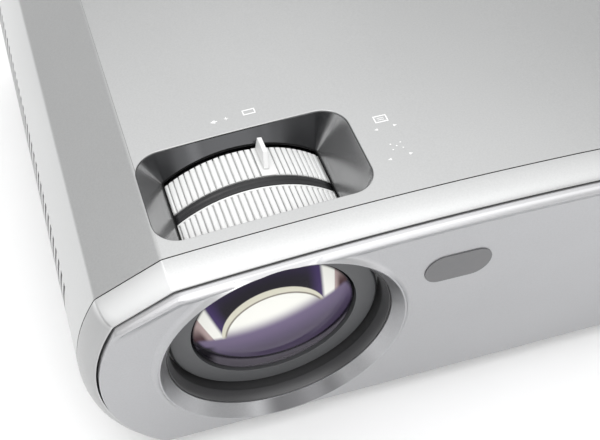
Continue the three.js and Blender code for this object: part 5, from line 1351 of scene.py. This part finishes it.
# Round socket: a rounded ring, and a core that has pin holes or is hollow. Radii are shares of the ring's.
def fillSocket(node, material):
    socket = {
        "bore": 0.5, "mouth": 0.62, "rounding": 0.35, "mouthDepth": 0.6,
        "pinCore": (0.52, 5, 1.6), "pins": ((-1.1, -0.9), (1.1, -0.9), (-1.1, 0.9), (1.1, 0.9)),
        "pinRadius": 0.42, "pinDepth": 4, "hollow": 0.16, "tip": 0.3, "tipSlope": 0.5,
        "coreDepth": 4, "coreFront": 0.25, "tipFront": 0.7,
    }
    low, high = boxOf(node)
    x, z, radius, face = (low.x + high.x) / 2, (low.z + high.z) / 2, (high.x - low.x) / 2, high.y
    bore, mouth, rounding = radius * socket["bore"], radius * socket["mouth"], socket["rounding"]
    ring = turned("socketRing", (bore, low.y), [
        *lines((radius, low.y), (radius, face - rounding)),
        ("arc", radius - rounding, face - rounding, 90, 4),
        *lines((mouth, face), (bore, face - socket["mouthDepth"]), (bore, low.y))], "y", (x, z), 0, 48)
    name = node.replace("s_video", "round")
    smooth(ring, 35)
    finish(ring, name.replace("_socket", "SocketRing"), "housing", satinBlack, [node])
    if node == "s_video_socket":
        share, back, front = socket["pinCore"]
        core = rod("core", "y", radius * share, face - back, face - front, (x, z), 32)
        for px, pz in socket["pins"]:
            pin = rod("pin", "y", socket["pinRadius"], face - socket["pinDepth"], face, (x + px, z + pz), 12)
            combine(core, pin, "DIFFERENCE")
    else:
        inner, hollow = radius * socket["tip"], radius * socket["hollow"]
        back, front, tip = (face - socket[key] for key in ("coreDepth", "coreFront", "tipFront"))
        core = turned("core", (hollow, back), lines(
            (mouth, back), (mouth, front), (inner + socket["tipSlope"], front), (inner, tip), (hollow, tip),
            (hollow, back)), "y", (x, z), 0, 40)
    finish(smooth(core, 35), name.replace("_socket", "SocketCore"), "housing", material)


rearCopies = {  # name of the piece, and its edges' width in millimetres
    "rear_panel": ("rearPanelPlate", 0), "vga_port": ("monitorPortShell", 0.15),
    "serial_port": ("controlPortShell", 0.15), "usb_port": ("usbPortShell", 0.15),
    "mains_inlet": ("mainsInletFrame", 0.25), "power_rocker": ("powerRockerCap", 0.4),
}
for node, facts in rearCopies.items():
    bevelledCopy(node, *facts)
fillPort("vga_port", 3, 5, insertBlue)
fillPort("serial_port", 2, 5, insertBlack)
fillSocket("s_video_socket", insertBlack)
fillSocket("video_socket", insertYellow)
fillSocket("audio_socket", insertGreen)
print("rear ready")

undersideCopies = {  # name of the piece, and its edges' width and steps
    "bottom_case": ("bottomCaseTray", 0), "lamp_cover": ("lampDoor", 0.3),
    "lamp_cover_screw": ("lampDoorScrew", 0.2), "elevator_foot": ("frontFoot", 0.5, 3),
    "foot_button": ("footRelease", 0.4), "rear_foot_left": ("rearFootLeft", 0.6, 3),
    "rear_foot_right": ("rearFootRight", 0.6, 3),
}
for node, facts in undersideCopies.items():
    bevelledCopy(node, *facts)
print("underside ready")
